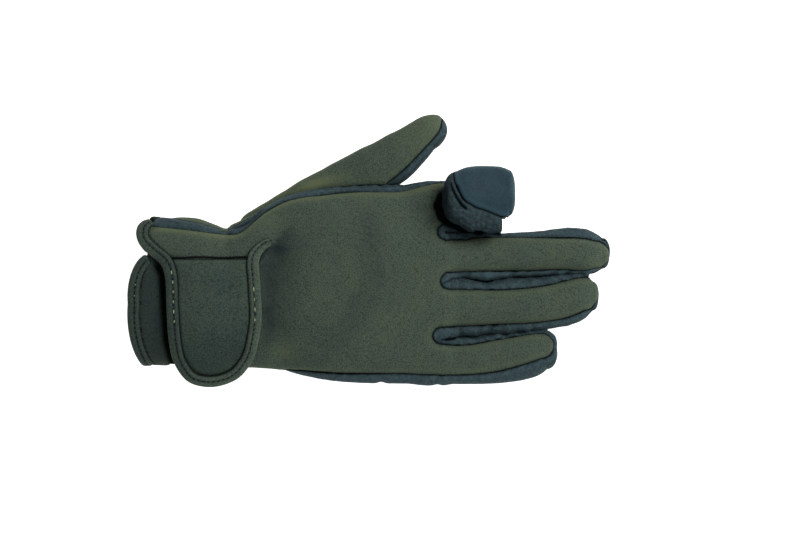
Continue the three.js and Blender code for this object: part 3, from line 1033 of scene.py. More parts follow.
@dataclass
class HandShell:
    """The sewn hand, cuff and fingers: olive back, navy palm and side strips."""

    pitch: float = 0.9
    root_blend: float = 4.0
    finger_blend: float = 0.5
    touch_blend: float = 1.2
    touch_z: tuple[float, float] = (9.0, 1.8)  # middle and half height of the web between two fingers
    shades: Shades = field(default_factory=Shades)
    reliefs: Reliefs = field(default_factory=Reliefs)
    hand: Tube = field(
        default_factory=lambda: Tube(
            Rows(
                "x y half height",
                [
                    [x, (a + b) / 2, (a - b) / 2, height]
                    for x, a, b, height in (
                        (-134, 16.9, -59.0, 37.0),
                        (-110, 16.9, -59.5, 36.5),
                        (-90, 16.4, -60.2, 35.5),
                        (-80, 13.1, -60.5, 34.0),
                        (-74, 11.0, -60.8, 32.5),
                        (-71, 13.2, -60.8, 31.8),
                        (-68, 14.5, -60.8, 31.5),
                        (-65, 16.0, -60.8, 31.2),
                        (-57, 20.4, -61.0, 30.4),
                        (-46, 26.5, -61.9, 28.6),
                        (-33, 30.8, -64.9, 30.0),
                        (-18, 32.8, -67.5, 30.5),
                        (0, 34.2, -68.7, 29.5),
                        (18, 33.9, -68.9, 27.6),
                        (38, 35.0, -68.9, 24.8),
                    )
                ],
            ),
            tip=8,
        )
    )
    fingers: dict[str, Tube] = field(
        default_factory=lambda: {
            name: Tube(Rows("x y half height", rows), tip, start_tip=14)
            for name, tip, rows in (
                ("index", 5, [[32, 22.3, 12.7, 22.0], [46, 22.4, 13.2, 20.6], [60, 22.8, 13.2, 19.4],
                              [70, 22.8, 13.0, 19.2]]),
                ("middle", 3.9, [[32, -3.5, 12.7, 23.0], [44, -3.4, 12.5, 22.0], [64, -3.1, 12.0, 20.6],
                                 [84, -2.4, 11.9, 19.6], [104, -0.6, 12.3, 18.4], [112, -0.5, 12.0, 17.4],
                                 [116.7, -0.9, 10.8, 15.8], [119.5, -1.2, 9.6, 14.2],
                                 [122, -1.5, 7.7, 12.2]]),
                ("ring", 3.0, [[32, -30.8, 14.5, 23.2], [44, -30.4, 14.4, 22.2], [64, -29.4, 13.8, 20.8],
                               [84, -28.2, 13.2, 19.6], [98, -26.8, 13.3, 18.4], [104, -25.9, 13.1, 17.8],
                               [108, -25.4, 12.6, 17.2], [111, -24.8, 11.7, 16.4], [114, -24.2, 9.9, 14.8],
                               [117, -23.7, 7.3, 12.6]]),
                ("little", 5.4, [[32, -57.3, 11.8, 21.6], [44, -57.4, 11.8, 20.6], [64, -56.7, 12.3, 19.2],
                                 [78, -54.7, 12.9, 18.0], [86, -53.1, 12.6, 16.8], [90, -52.4, 11.5, 15.4],
                                 [93, -51.6, 9.9, 13.8]]),
            )
        }
    )
    bands: dict[str, Band] = field(
        default_factory=lambda: {
            name: Band(Rows("x low high", rows), tip)
            for name, tip, rows in (
                ("hand", 0, [[-134, -80, 12.8], [-113, -80, 12.8], [-100, -80, 11.8], [-86, -80, 10.1],
                             [-74, -80, 8.8], [-67, -80, 9.5], [-60, -76, 15.1], [-54, -72, 20.3],
                             [-46, -62.9, 24.7], [-38, -62.8, 27.2], [-25, -63.8, 29.0], [-10, -64.6, 31.0],
                             [15, -64.2, 30.6], [24.5, -64.6, 32.5], [30, -64.9, 33.8],
                             [35, -65.0, 34.9], [40, -65.2, 35.3]]),
                ("index", 0, [[36, 15.0, 35.1], [46, 14.6, 33.0], [60, 14.8, 31.6],
                              [STUB_END_X + 6, 14.8, 31.6]]),
                ("middle", 8.2, [[36, -11.4, 4.8], [56, -11.2, 7.1], [80, -11.2, 7.1], [100, -10.4, 7.1],
                                 [112, -10.6, 6.7], [118, -9.4, 5.4]]),
                ("ring", 6.8, [[32, -40.0, -19.1], [54, -39.7, -19.9], [74, -38.6, -19.8], [90, -37.5, -18.2],
                               [101, -36.0, -15.8], [108, -33.8, -14.2], [113, -31.6, -13.8]]),
                ("little", 7.0, [[32, -65.0, -49.0], [52, -64.8, -48.6], [66, -63.4, -46.2],
                                 [78, -60.4, -44.4], [86, -57.8, -43.2], [90, -56.4, -43.0]]),
            )
        }
    )
    # Where the slits between the fingers end in the back, with the radius of each end
    slit_ends: tuple[tuple[float, float, float], ...] = (
        (39.8, 9.8, 3.8), (41.6, -15.9, 4.2), (37.9, -44.4, 4.3),
    )
    touch_ends: tuple[float, ...] = (68.0, 115.0, 93.0)
    strip_highlight: tuple[float, ...] = (0.0, 1.8, 0.3)  # painted highlight on the upper side of each strip, against the shade between the fingers
    # Middle line of each crease between two fingers, with its half width
    creases: tuple[tuple[tuple[float, float, float], ...], ...] = (
        ((40.0, 9.2, 0.5), (70.0, 9.6, 0.5)),
        ((39.6, -16.6, 0.2), (43.6, -14.6, 0.3), (49.5, -14.2, 0.25), (57.8, -15.7, 0.75),
         (62.0, -16.4, 0.95), (66.2, -15.4, 0.5), (72.8, -14.2, 0.3), (79.4, -13.8, 0.45),
         (87.8, -13.7, 0.6), (95.0, -12.9, 0.5), (103.5, -12.1, 0.3), (113.0, -12.0, 0.15)),
        ((38.0, -46.4, 0.3), (40.5, -46.3, 0.9), (44.6, -45.6, 0.8), (47.1, -44.5, 0.35), (51.2, -44.9, 0.4),
         (56.2, -44.9, 0.4), (59.5, -43.9, 0.5), (66.1, -43.1, 0.35), (72.8, -43.5, 0.5), (79.4, -42.4, 0.45),
         (86.9, -41.4, 0.35), (92.7, -41.3, 0.15)),
    )
    pinches: tuple[tuple[float, float], ...] = ((35.9, -68.8), (6.5, -68.6))  # in the palm's outer edge
    # Creases that the wrist's narrow part pulls into the navy strip
    waist: tuple[tuple[float, float, float], ...] = (
        (-70.0, 11.4, 0.1), (-67.0, 12.4, 0.35), (-63.6, 14.2, 0.55), (-60.4, 16.4, 0.6), (-57.2, 19.4, 0.5),
        (-53.6, 22.6, 0.2),
    )
    tab_edge: tuple[tuple[float, float], ...] = (
        (-104.8, -5.4), (-102.2, -12.0), (-101.2, -30.0), (-100.2, -46.0), (-98.0, -56.6), (-92.0, -65.2),
    )
    tab_side: tuple[tuple[float, float], ...] = (
        (-64.9, -58.8), (-60.2, -47.0), (-58.5, -35.0), (-59.2, -18.0), (-59.8, -6.0), (-56.2, 1.2),
        (-50.6, 4.7),
    )
    # Lines of painted shade: where the closed tab pulls the back down beside it, and along a slack fold
    # across the back, in plan
    pulled: tuple[tuple[float, float], ...] = (
        (-45.5, 10.0), (-46.8, 0.0), (-50.2, -14.0), (-51.4, -30.0), (-51.8, -46.0), (-55.0, -55.0),
    )
    slack: tuple[tuple[float, float], ...] = ((0.8, 14.0), (2.9, -15.0), (-8.6, -36.0), (-19.0, -46.0))
    # Where painted shade lies under the tab's hook, with half widths
    under_hook: tuple[tuple[float, float, float], ...] = (
        (-57.0, -5.4, 0.6), (-53.8, -1.2, 0.9), (-50.0, 2.2, 0.4),
    )
    # Soft ridges of the back that catch the light: x, y, their half sizes and how light they are
    lit: tuple[tuple[float, float, float, float, float], ...] = (
        (-56.0, 16.0, 10.0, 6.0, 0.20), (-45.0, -52.0, 6.0, 5.0, 0.16),
    )
    # The lobe's and the hook's tape, with half widths
    tape_edges: tuple[tuple[tuple[float, float, float], ...], ...] = (
        ((-112.0, 14.6, 3.4), (-114.9, 13.8, 3.4), (-116.8, 11.6, 3.4), (-117.2, 8.6, 3.4),
         (-115.8, 4.6, 3.4), (-110.4, -0.6, 3.4), (-104.8, -5.4, 3.4)),
        ((-59.9, -6.0, 3.3), (-58.9, -2.2, 3.0), (-56.4, 1.2, 2.5), (-53.4, 3.4, 2.1)),
    )
    # Middle line of the hollow under the folded fingertip, pressed in and painted with shadow, with its half
    # width
    tip_gap: tuple[tuple[float, float, float], ...] = (
        (40.4, 32.0, 1.0), (38.4, 28.4, 2.8), (37.6, 23.6, 3.9), (39.2, 18.7, 3.9), (42.6, 15.2, 3.4),
        (47.0, 12.2, 2.2), (53.3, 9.9, 1.2), (68.4, 8.5, 0.8),
    )
    split: Band = field(
        default_factory=lambda: Band(
            Rows("x low high", [[-128, -2.4, -1.4], [-112.6, -2.5, -1.5], [-104, -7.8, -6.8],
                                [-90, -8.9, -7.9], [-64, -9.0, -8.0]])
        )
    )
    # Top of the olive rim along the wrist on the thumb's side
    side_band: Rows = field(
        default_factory=lambda: Rows(
            "x high", [[-106, 6.0], [-103, 14.0], [-99, 19.5], [-92, 21.6], [-86, 21.2], [-80, 19.8],
                       [-74, 19.0], [-66, 17.0], [-61, 14.5], [-57, 9.5], [-54, 5.0]]
        )
    )
    flap_mouth: tuple[tuple[float, float, float], ...] = ((-33.2, 12.3, 28.3), (-24.0, 12.2, 22.6))
    lobe_mouth: tuple[float, float, float] = (8.1, 7.8, 9.6)
    palm_mouth: tuple[float, float, float] = (-21.0, 3.6, 39.5)

    PAIRS = (("index", "middle"), ("middle", "ring"), ("ring", "little"))
    HOOK_RUN = (9.2, 10.7)  # which way the tab's hook runs in plan
    TIP_FADE = 0.85  # how far the side's seams fade at the very ends of the fingers

    def distance(self, x: Array, y: Array, z: Array) -> Array:
        """Returns the distance to the hand's outer form, with waves in the finger creases.

        Args:
            x: Places in x.
            y: Places in y.
            z: Places in z.

        Returns:
            The distance at each place.
        """
        moved = y + self._wander(x, y) * ramp(z, 8, 13)
        fingers = None
        for name, tube in self.fingers.items():
            finger = tube.distance(x, moved, z)
            if name == "index":
                finger = np.maximum(finger, x - STUB_END_X - 1.2)
            fingers = finger if fingers is None else smooth_union(fingers, finger, self.finger_blend)
        for (upper, lower), end in zip(self.PAIRS, self.touch_ends):
            touch = self._touch(x, moved, z, upper, lower, end)
            fingers = smooth_union(fingers, touch, self.touch_blend)
        return smooth_union(self.hand.distance(x, y, z), fingers, self.root_blend)

    def _wander(self, x: Array, y: Array) -> Array:
        """Returns how far the creases between the fingers leave the straight line, in plan."""
        total = 0.0
        for (upper, lower), crease, end in zip(self.PAIRS, self.creases, self.touch_ends):
            top, bottom = self.fingers[upper].rows, self.fingers[lower].rows
            straight = (top.at("y", x) - top.at("half", x) + bottom.at("y", x) + bottom.at("half", x)) / 2
            corners = np.array(crease)
            line = np.interp(x, corners[:, 0], corners[:, 1]) + 0.2 * np.sin(x / 1.9)
            ahead = ramp(x, 38, 43) * ramp(x, end + 4, end - 8)
            total = total + (straight - line) * ahead * bump(y - line, 4.5)
        return total

    def _touch(self, x: Array, y: Array, z: Array, upper: str, lower: str, end: float) -> Array:
        """Returns the distance to the web where two fingers touch, so that no light shows there.

        Args:
            x: Places in x.
            y: Places in y.
            z: Places in z.
            upper: Name of the upper finger.
            lower: Name of the lower one.
            end: Where the web ends in x.

        Returns:
            The distance at each place.
        """
        top, bottom = self.fingers[upper].rows, self.fingers[lower].rows
        above = top.at("y", x) - top.at("half", x)
        below = bottom.at("y", x) + bottom.at("half", x)
        half = np.maximum(above - below, 0) / 2 + 0.8
        middle_z, half_z = self.touch_z
        sides = np.maximum(np.abs(y - (above + below) / 2) - half, np.abs(z - middle_z) - half_z)
        return np.maximum(sides, np.maximum(x - end, 36 - x))

    def olive(self, x: Array, y: Array) -> Array:
        """Returns how far a place in plan lies inside the olive back.

        Args:
            x: Places in x.
            y: Places in y.

        Returns:
            The depth at each place.
        """
        depth = self.bands["hand"].inside(x, y)
        for name in ("index", "middle", "ring", "little"):
            band = self.bands[name]
            reach = np.minimum(band.inside(x, y), x - band.rows.first)
            depth = np.maximum(depth, reach)
        for at_x, at_y, radius in self.slit_ends:
            along = np.maximum(np.maximum(at_x - x, x - at_x - 3 * radius), 0)
            depth = np.minimum(depth, np.hypot(along, y - at_y) - radius)
        return depth

    @staticmethod
    def mouth(y: Array, arcs: Sequence[tuple[float, float, float]], shift: float) -> Array:
        """Returns the mouth's edge in x at y, rounded out by arcs and moved in by shift.

        Args:
            y: Places in y.
            arcs: Middle, depth and half width of each arc.
            shift: How far the edge is moved in.

        Returns:
            The edge's x at each y.
        """
        edge = np.full_like(np.asarray(y, float), MOUTH_X)
        for middle, reach_x, reach_y in arcs:
            share = np.clip(1 - ((y - middle) / reach_y) ** 2, 0, None)
            edge = np.minimum(edge, MOUTH_X - reach_x * np.sqrt(share))
        return edge + shift

    def build(self, thumb: "ThumbStall") -> list[Array]:
        """Makes the back, the palm and the strips between the fingers, and returns the back's seams.

        Args:
            thumb: The thumb.

        Returns:
            The back's open edges.
        """
        whole = net(self.distance, (-128, -71, -1.6), (128, 39, 41), self.pitch)
        x, y, _ = whole.points.T
        past_stub = np.where((y > 9.6) & (x < STUB_END_X + 2.1), STUB_END_X - x, 5.0)
        whole = whole.clipped(past_stub).largest()
        seams = self._back(whole)
        rest = whole.clipped(-self._back_inside(whole.points))
        x, y, z = rest.points.T
        high = ramp(z, 20, 23)  # under the lobe's tape the palm reaches as far as the lobe
        low_edge = self.mouth(y, [self.palm_mouth], TAPE_FOLD)
        high_edge = self.mouth(y, [self.lobe_mouth], TAPE_FOLD)
        rest = rest.clipped(x - low_edge - high * (high_edge - low_edge))
        self._strips(rest)
        self._palm(rest, thumb)
        return seams

    def _back_inside(self, points: Array) -> Array:
        """Returns how far a point of the skin lies inside the olive back."""
        x, y, z = points.T
        return np.minimum(self.olive(x, y), z - SEAM_Z + 4.5 * self._at_tip(x, y))

    @staticmethod
    def _at_tip(x: Array, y: Array) -> Array:
        """Returns how far a place lies into a fingertip, where the seams come together: 0 to 1."""
        start = np.where(y < -43, 76, 101)  # the little finger is shorter
        along = ramp(x - start, 0, 15)
        return along * along * (3 - 2 * along)

    def _back(self, whole: Skin) -> list[Array]:
        """Makes the olive back, with its dent beside the tab, and returns its seams."""
        skin = whole.clipped(self._back_inside(whole.points))
        x, y, _ = skin.points.T
        skin = skin.clipped(x - self.mouth(y, [*self.flap_mouth, self.lobe_mouth], TAPE_FOLD))
        x, y, z = skin.points.T
        cut = np.maximum(-self.split.inside(x, y), 20.0 - z)
        skin = skin.clipped(np.where(x < -60, cut, 1.0)).largest()
        size = self.reliefs

        def shape(points: Array, away: Array) -> Array:
            """Returns the back's soft waves, less its dents."""
            free = ramp(points[:, 0], -60, -46)
            swell = ripple(points[:, :2], length=34, seed=5) * size.swell * free
            fine = ripple(points, length=9, seed=6) * size.fine * free
            hollow = size.dent * self._dent(points) + size.beside_tab * self._beside_tab(points)
            return swell + fine - hollow - size.beside_tip * self.beside_tip(points) ** 2

        def fold(points: Array, away: Array) -> Array:
            """Returns the painted shadow in the gap beside the tab, along the tapes and left of the folded
            fingertip.
            """
            gap, lines = 0.98 * self._beside_tab(points), 0.9 * self._beside_tapes(points)
            return np.maximum.reduce([gap, lines, self.beside_tip(points)])

        sewn = Sewing(drop=0.7, width=1.4, puff=0.3, painted_highlight=0.14).sewn(skin, shape, fold, self._shadow)
        sewn.marks["rim"] = np.maximum(sewn.marks["rim"], self._light(sewn.points))
        faint = np.maximum(0.7 * self._open_edge(sewn.points), 0.5 * self._tip_ends(sewn.points))
        sewn.marks["seam"] *= 1 - faint
        piece(sewn, "back_of_glove", Finish.NEOPRENE, "olive_neoprene", "back_panel")
        return Skin(sewn.points[: len(skin.points)], skin.faces).lines()

    def _open_edge(self, points: Array) -> Array:
        """Returns how near a point is to the back's upper seam, which lies open to the light."""
        x, y, z = points.T
        away = self.bands["hand"].rows.at("high", x) - y
        return bump(away, 3.0) * ramp(x, *HAND_END) * ramp(z, *SEEN_Z)

    def _light(self, points: Array) -> Array:
        """Returns the painted highlight along the back's upper edge and on its soft ridges."""
        x, y, z = points.T
        away = np.clip(self.bands["hand"].rows.at("high", x) - y - 1.2, 0, None)
        strength = self.shades.edge + self.shades.edge_wrist * ramp(x, -62, -70)
        edge = strength * bump(away, 1.9) * ramp(x, *HAND_END)
        ridges = sum(
            share * bump(np.hypot((x - at_x) / half_x, (y - at_y) / half_y), 1.0)
            for at_x, at_y, half_x, half_y, share in self.lit
        )
        return np.maximum(edge, ridges) * ramp(z, *SEEN_Z)

    def _tip_ends(self, points: Array) -> Array:
        """Returns how near a point is to the very end of a finger, where the seams hardly show."""
        x, y, _ = points.T
        near = np.zeros(len(points))
        for name in ("middle", "ring", "little"):
            tube = self.fingers[name]
            past = ramp(x - tube.rows.last - tube.tip, -3, -1)
            near = np.maximum(near, bump(y - tube.rows.at("y", x), 4.0) * past)
        return near

    @staticmethod
    def _upper_side(points: Array, crease: Sequence[Sequence[float]]) -> Array:
        """Returns how far a point lies on the upper side of a crease between two fingers.

        Args:
            points: The points.
            crease: The crease's line.

        Returns:
            The share at each point.
        """
        corners = np.array(crease)
        line = np.interp(points[:, 0], corners[:, 0], corners[:, 1] + corners[:, 2])
        return np.clip(points[:, 1] - line - 0.3, 0, 1) * np.clip((points[:, 0] - 38) / 14, 0.3, 1)

    @staticmethod
    def _dent(points: Array) -> Array:
        """Returns the soft dent that the closed tab pulls into the back beside it."""
        x, y, _ = points.T
        uneven = 1 + 0.2 * ripple(points[:, :2], length=18, seed=11)
        return bump(x + 50.5, 7.5) * bump(np.maximum(np.abs(y + 26) - 17, 0), 10.0) * uneven

    def _shadow(self, points: Array) -> Array:
        """Returns the painted shade on the back right of the tab, under its hook and along a slack fold, and
        the darker tone over the flap and the band above the tab.
        """
        x, y, _ = points.T
        past = np.clip(polyline_distance(points, self.tab_side) - TAPE_WIDTH / 2, 0, None)
        share = self.shades
        run_x, run_y = self.HOOK_RUN
        past_hook = ((x + 59.8) * run_y - (y + 6) * run_x) / math.hypot(run_x, run_y)
        beyond = np.where(y > -6, past_hook, x + 62)  # right of the tab, and of its hook above
        fade = ramp(y, -60, -42) * ramp(y, 18, 2) * ramp(beyond, 0, 3)
        soft = 1 + share.uneven * ripple(points[:, :2], length=11, seed=12)
        broad = share.broad * np.clip((y + 46) / 30, 0.2, 1.2) * np.exp(-((past / 16) ** 1.6))
        wide = 5.4 + 2.4 * ramp(y, -18, -2)
        core = share.core + share.core_low * ramp(y, -22, -30)
        deep = core * bump(polyline_distance(points, self.pulled) / wide, 1.0) + broad
        slack = share.slack * bump(polyline_distance(points, self.slack), 8.0)
        hook = share.hook * brushed(points, self.under_hook, 1.0, 1.8)
        flap = share.flap * ramp(x, -98.5, -100.5) * ramp(y, -2, -4)
        band = share.band * ramp(x, -62, -68) * (y > -4)
        return np.maximum(deep * fade * soft, hook) + slack + flap + band

    def _beside_tapes(self, points: Array) -> Array:
        """Returns the thin lines of painted shadow along the inner edges of the tapes."""
        x, y, _ = points.T
        flap = np.where((y < -5) & (x < -96), x - self.mouth(y, self.flap_mouth, TAPE_WIDTH + 0.2), 9.0)
        lines = [bump(past_stroke(points, stroke), 0.38) for stroke in self.tape_edges]
        return np.maximum.reduce([*lines, bump(flap, 0.38)])

    def _beside_tab(self, points: Array) -> Array:
        """Returns the deep gap between the tab's left edge and the flap: how deep it is pressed in and how
        dark its painted shadow is.
        """
        x, y, _ = points.T
        away = np.abs(polyline_distance(points, self.tab_edge) - 4.4)
        return bump(np.maximum(away - 0.9, 0), 1.3) * ramp(x, -96, -98) * ramp(y, -3, -8)

    def beside_tip(self, points: Array) -> Array:
        """Returns how far a place lies in the hollow left of the folded fingertip: how deep it is pressed in
        and how dark its painted shadow is.
        """
        past = np.clip(past_stroke(points, self.tip_gap), 0, None)
        return np.maximum(brushed(points, self.tip_gap, 0.6, 1.0), 0.32 * np.exp(-past / 2.4))

    def _between(self, points: Array, upper: str, lower: str) -> Array:
        """Returns how far a point lies inside the strip between two fingers.

        Args:
            points: The points.
            upper: Name of the upper finger.
            lower: Name of the lower one.

        Returns:
            The depth at each point.
        """
        x, y, z = points.T
        top = self.fingers[upper].rows.at("y", x) - y
        bottom = y - self.fingers[lower].rows.at("y", x)
        return np.minimum.reduce([top, bottom, z - PALM_SEAM_Z - 2.0 * self._at_tip(x, y), x - 32.0])

    @staticmethod
    def _gathers(amount: float, seed: int, length: float = 6.5) -> Callable[[Array, Array], Array]:
        """Returns puckers that run across a seam and fade away from it.

        Args:
            amount: Their height.
            seed: Seed of their waves.
            length: How far apart they are.

        Returns:
            A function of the points and their rim distance.
        """

        def shape(points: Array, away: Array) -> Array:
            """Returns how high the puckers are at the points."""
            long = ripple(points[:, :1] + 0.35 * points[:, 1:2], length, seed)
            soft = ripple(points, length, seed + 1)
            fine = ripple(points, length / 2.6, seed + 2)
            return amount * (long * bump(away - 1.8, 2.6) + (0.6 * soft + 0.25 * fine) * bump(away - 3, 5))

        return shape

    def _strips(self, rest: Skin) -> None:
        """Makes the navy strips between the fingers, puckered along their seams."""
        for seed, ((upper, lower), crease, end) in enumerate(zip(self.PAIRS, self.creases, self.touch_ends)):
            skin = rest.clipped(self._between(rest.points, upper, lower)).largest()
            gathers = self._gathers(0.46, 20 + 3 * seed)

            def shape(points: Array, away: Array) -> Array:
                """Returns the gathers, lower past the end where the fingers touch."""
                return gathers(points, away) * (0.25 + 0.75 * ramp(points[:, 0], end, end - 8))

            def crevice(points: Array, away: Array) -> Array:
                """Returns the painted shade in the crease and the painted shadow in the gap beside the folded
                fingertip.
                """
                deep = brushed(points, crease, 0.6, 0.7) * ramp(points[:, 0], end + 3, end - 1)
                return np.maximum(deep, self.beside_tip(points))

            sewn = Sewing(drop=0.6, width=1.2, puff=0.5, line=0.4).sewn(skin, shape, crevice)
            # Painted highlight on the strip's upper side
            sewn.marks["rim"] = sewn.marks["rim"] + self.strip_highlight[seed] * self._upper_side(sewn.points, crease)
            sewn.marks["seam"] *= 1 - self.TIP_FADE * self._tip_ends(sewn.points)
            pair = f"{upper}_{lower}"
            piece(sewn, f"{pair}_strip", Finish.SUEDE, "navy_suede", f"{pair}_side_strip")

    def _wrist_side(self, points: Array) -> Array:
        """Returns how far a point lies inside the olive side of the wrist, below the navy strip."""
        x, y, z = points.T
        return np.minimum.reduce(
            [self.side_band.at("high", x) - z, z - PALM_SEAM_Z, y + 10, x + 106.0, -52.0 - x]
        )

    def _palm(self, rest: Skin, thumb: "ThumbStall") -> None:
        """Makes the navy palm, which comes round the sides, with its hole for the thumb."""
        skin = rest
        for upper, lower in self.PAIRS:
            skin = skin.clipped(-self._between(skin.points, upper, lower))
        skin = skin.clipped(thumb.inner(skin.points)).largest()
        gathers = self._gathers(0.22, 40)

        def shape(points: Array, away: Array) -> Array:
            """Returns the gathers along the fingers, less the creases and the pinched places."""
            side = ramp(points[:, 2], 1, 5)
            fingers = ramp(points[:, 0], -40, -20)
            pinch = sum(bump(np.hypot(points[:, 0] - x, points[:, 1] - y), 2.2) for x, y in self.pinches)
            return gathers(points, away) * side * fingers - 0.9 * self._waist_crease(points) - 0.9 * pinch

        def fold(points: Array, away: Array) -> Array:
            """Returns the painted shade in the waist's creases."""
            return 0.9 * self._waist_crease(points)

        def cuff(points: Array) -> Array:
            """Returns the faint shade on the cuff."""
            return 0.15 * ramp(points[:, 0], -84, -90)

        side = skin.clipped(self._wrist_side(skin.points)).largest()
        skin = skin.clipped(-self._wrist_side(skin.points)).largest()
        sewn = Sewing(drop=0.4, width=1.2, puff=0.5).sewn(skin, shape, fold, cuff)
        sewn.marks["seam"] *= (1 - 0.5 * self._open_edge(sewn.points)) * self._soft_seam(sewn.points)
        sewn.marks["seam"] *= 1 - self.TIP_FADE * self._tip_ends(sewn.points)
        x, y, z = sewn.points.T
        # Painted highlight along the palm's lower side
        low_side = ramp(x, -20, -10) * ramp(y, -60, -64) * ramp(z, 3, 6)
        sewn.marks["rim"] = sewn.marks["rim"] + 0.6 * low_side
        piece(sewn, "palm_of_glove", Finish.SUEDE, "navy_suede", "palm_panel")
        sewn = Sewing(drop=0.3, width=1.0, puff=0.5, painted_highlight=0.3).sewn(side)
        sewn.marks["seam"] *= self._soft_seam(sewn.points)
        piece(sewn, "side_of_wrist", Finish.NEOPRENE, "olive_neoprene")

    @staticmethod
    def _soft_seam(points: Array) -> Array:
        """Returns how dark the seam over the olive side of the wrist stays: it hardly shows from above."""
        x, y, z = points.T
        return 1 - 0.7 * ((x > -110) & (x < -70) & (y > 4) & (z > 15))

    def _waist_crease(self, points: Array) -> Array:
        """Returns how deep a point of the navy strip lies in the creases at the wrist's narrow part."""
        return brushed(points, self.waist, 0.7, 0.8) * ramp(points[:, 2], 15, 18)


@dataclass
class ThumbStall:
    """The thumb, which comes out from under the hand's edge: olive back, navy front."""

    pitch: float = 0.8
    tube: Tube = field(
        default_factory=lambda: Tube(
            Rows(
                "x y half height",
                [[-24, -3.1, 13.6, 12.0], [-14, -3.8, 14.6, 12.5], [0, -4.1, 15.0, 13.0],
                 [20, -4.2, 14.6, 14.5], [40, -4.1, 13.8, 16.5], [54, -3.7, 12.5, 17.0],
                 [66, -2.5, 10.7, 16.5], [75, -0.5, 8.9, 15.5]],
            ),
            tip=12.2,
            start_tip=14,
            place=Place(-35.6, 23.7, 30),
        )
    )
    olive: Band = field(
        default_factory=lambda: Band(
            Rows("x low high", [[-40, -24, 24], [-32, -24, 24], [0, -18.2, 24], [30, -15.0, 24],
                                [46, -12.8, 24], [52, -12.1, 24], [62, -9.7, 24], [72, -6.6, 24],
                                [79, -4.4, 24], [84, -1.6, 24], [90, 6.4, 24]])
        )
    )

    # Where the thumb's back gets a painted highlight beside the hand, in plan
    painted_highlight: tuple[tuple[float, float], ...] = ((-48.0, 27.0), (-34.0, 33.0), (-20.0, 36.5), (-4.0, 38.0))

    def inner(self, points: Array) -> Array:
        """Returns the distance of points to the thumb's inner form, above 0 outside it."""
        return self.tube.distance(*self.tube.place.local(points).T, inset=WALL)

    def build(self, hand: HandShell) -> None:
        """Makes the olive back and the navy front of the thumb.

        Args:
            hand: The hand.
        """
        skin = net(self.tube.distance, (-40, -22, -1.6), (88, 14, 19), self.pitch)
        skin.marks["along"], skin.marks["across"] = skin.points[:, 0].copy(), skin.points[:, 1].copy()
        skin = Skin(self.tube.place.world(skin.points), skin.faces, skin.marks)
        x, y, z = skin.points.T
        edge = hand.hand.rows.at("y", x) + hand.hand.rows.at("half", x)
        beside = np.maximum(y - edge - 0.05, HAND_CREST - z)
        skin = skin.clipped(np.minimum(hand.distance(x, y, z) - 0.1, beside)).largest()
        region = self.olive.inside(skin.marks["along"], skin.marks["across"])
        region = np.minimum(region, skin.points[:, 2] - THUMB_SEAM_Z)

        def shape(points: Array, away: Array) -> Array:
            """Returns the thumb's soft waves."""
            return 0.25 * ripple(points[:, :2], length=22, seed=61) + 0.06 * ripple(points, length=8, seed=62)

        def root(points: Array) -> Array:
            """Returns the shade towards the thumb's root."""
            return 0.5 * ramp(points[:, 0], 22, 10)

        back = Sewing(puff=0.6, painted_highlight=0.14).sewn(skin.clipped(region).largest(), shape)
        x, y, z = back.points.T
        # Painted highlights on the thumb's back: beside the hand, along its upper outline and on its tip
        painted_highlight = 0.95 * np.exp(-(((x + 28) / 12) ** 2)) * bump(polyline_distance(back.points, self.painted_highlight), 3.2)
        outline = 0.5 * ramp(z, 11, 8) * (y > 40 + 0.577 * (x - 10))
        tip = 0.33 * bump(np.hypot(x - 34, y - 64), 14)
        back.marks["rim"] = np.maximum.reduce([back.marks["rim"], painted_highlight, outline, tip])
        back.marks["seam"] *= np.where(hand.distance(x, y, z) < 1.8, 0.3, 1.0)
        piece(back, "back_of_thumb", Finish.NEOPRENE, "olive_neoprene", "thumb_back")
        front = Sewing(drop=0.5, width=1.1, puff=0.1).sewn(skin.clipped(-region).largest(), shape, None, root)
        piece(front, "front_of_thumb", Finish.SUEDE, "navy_suede", "thumb_front")


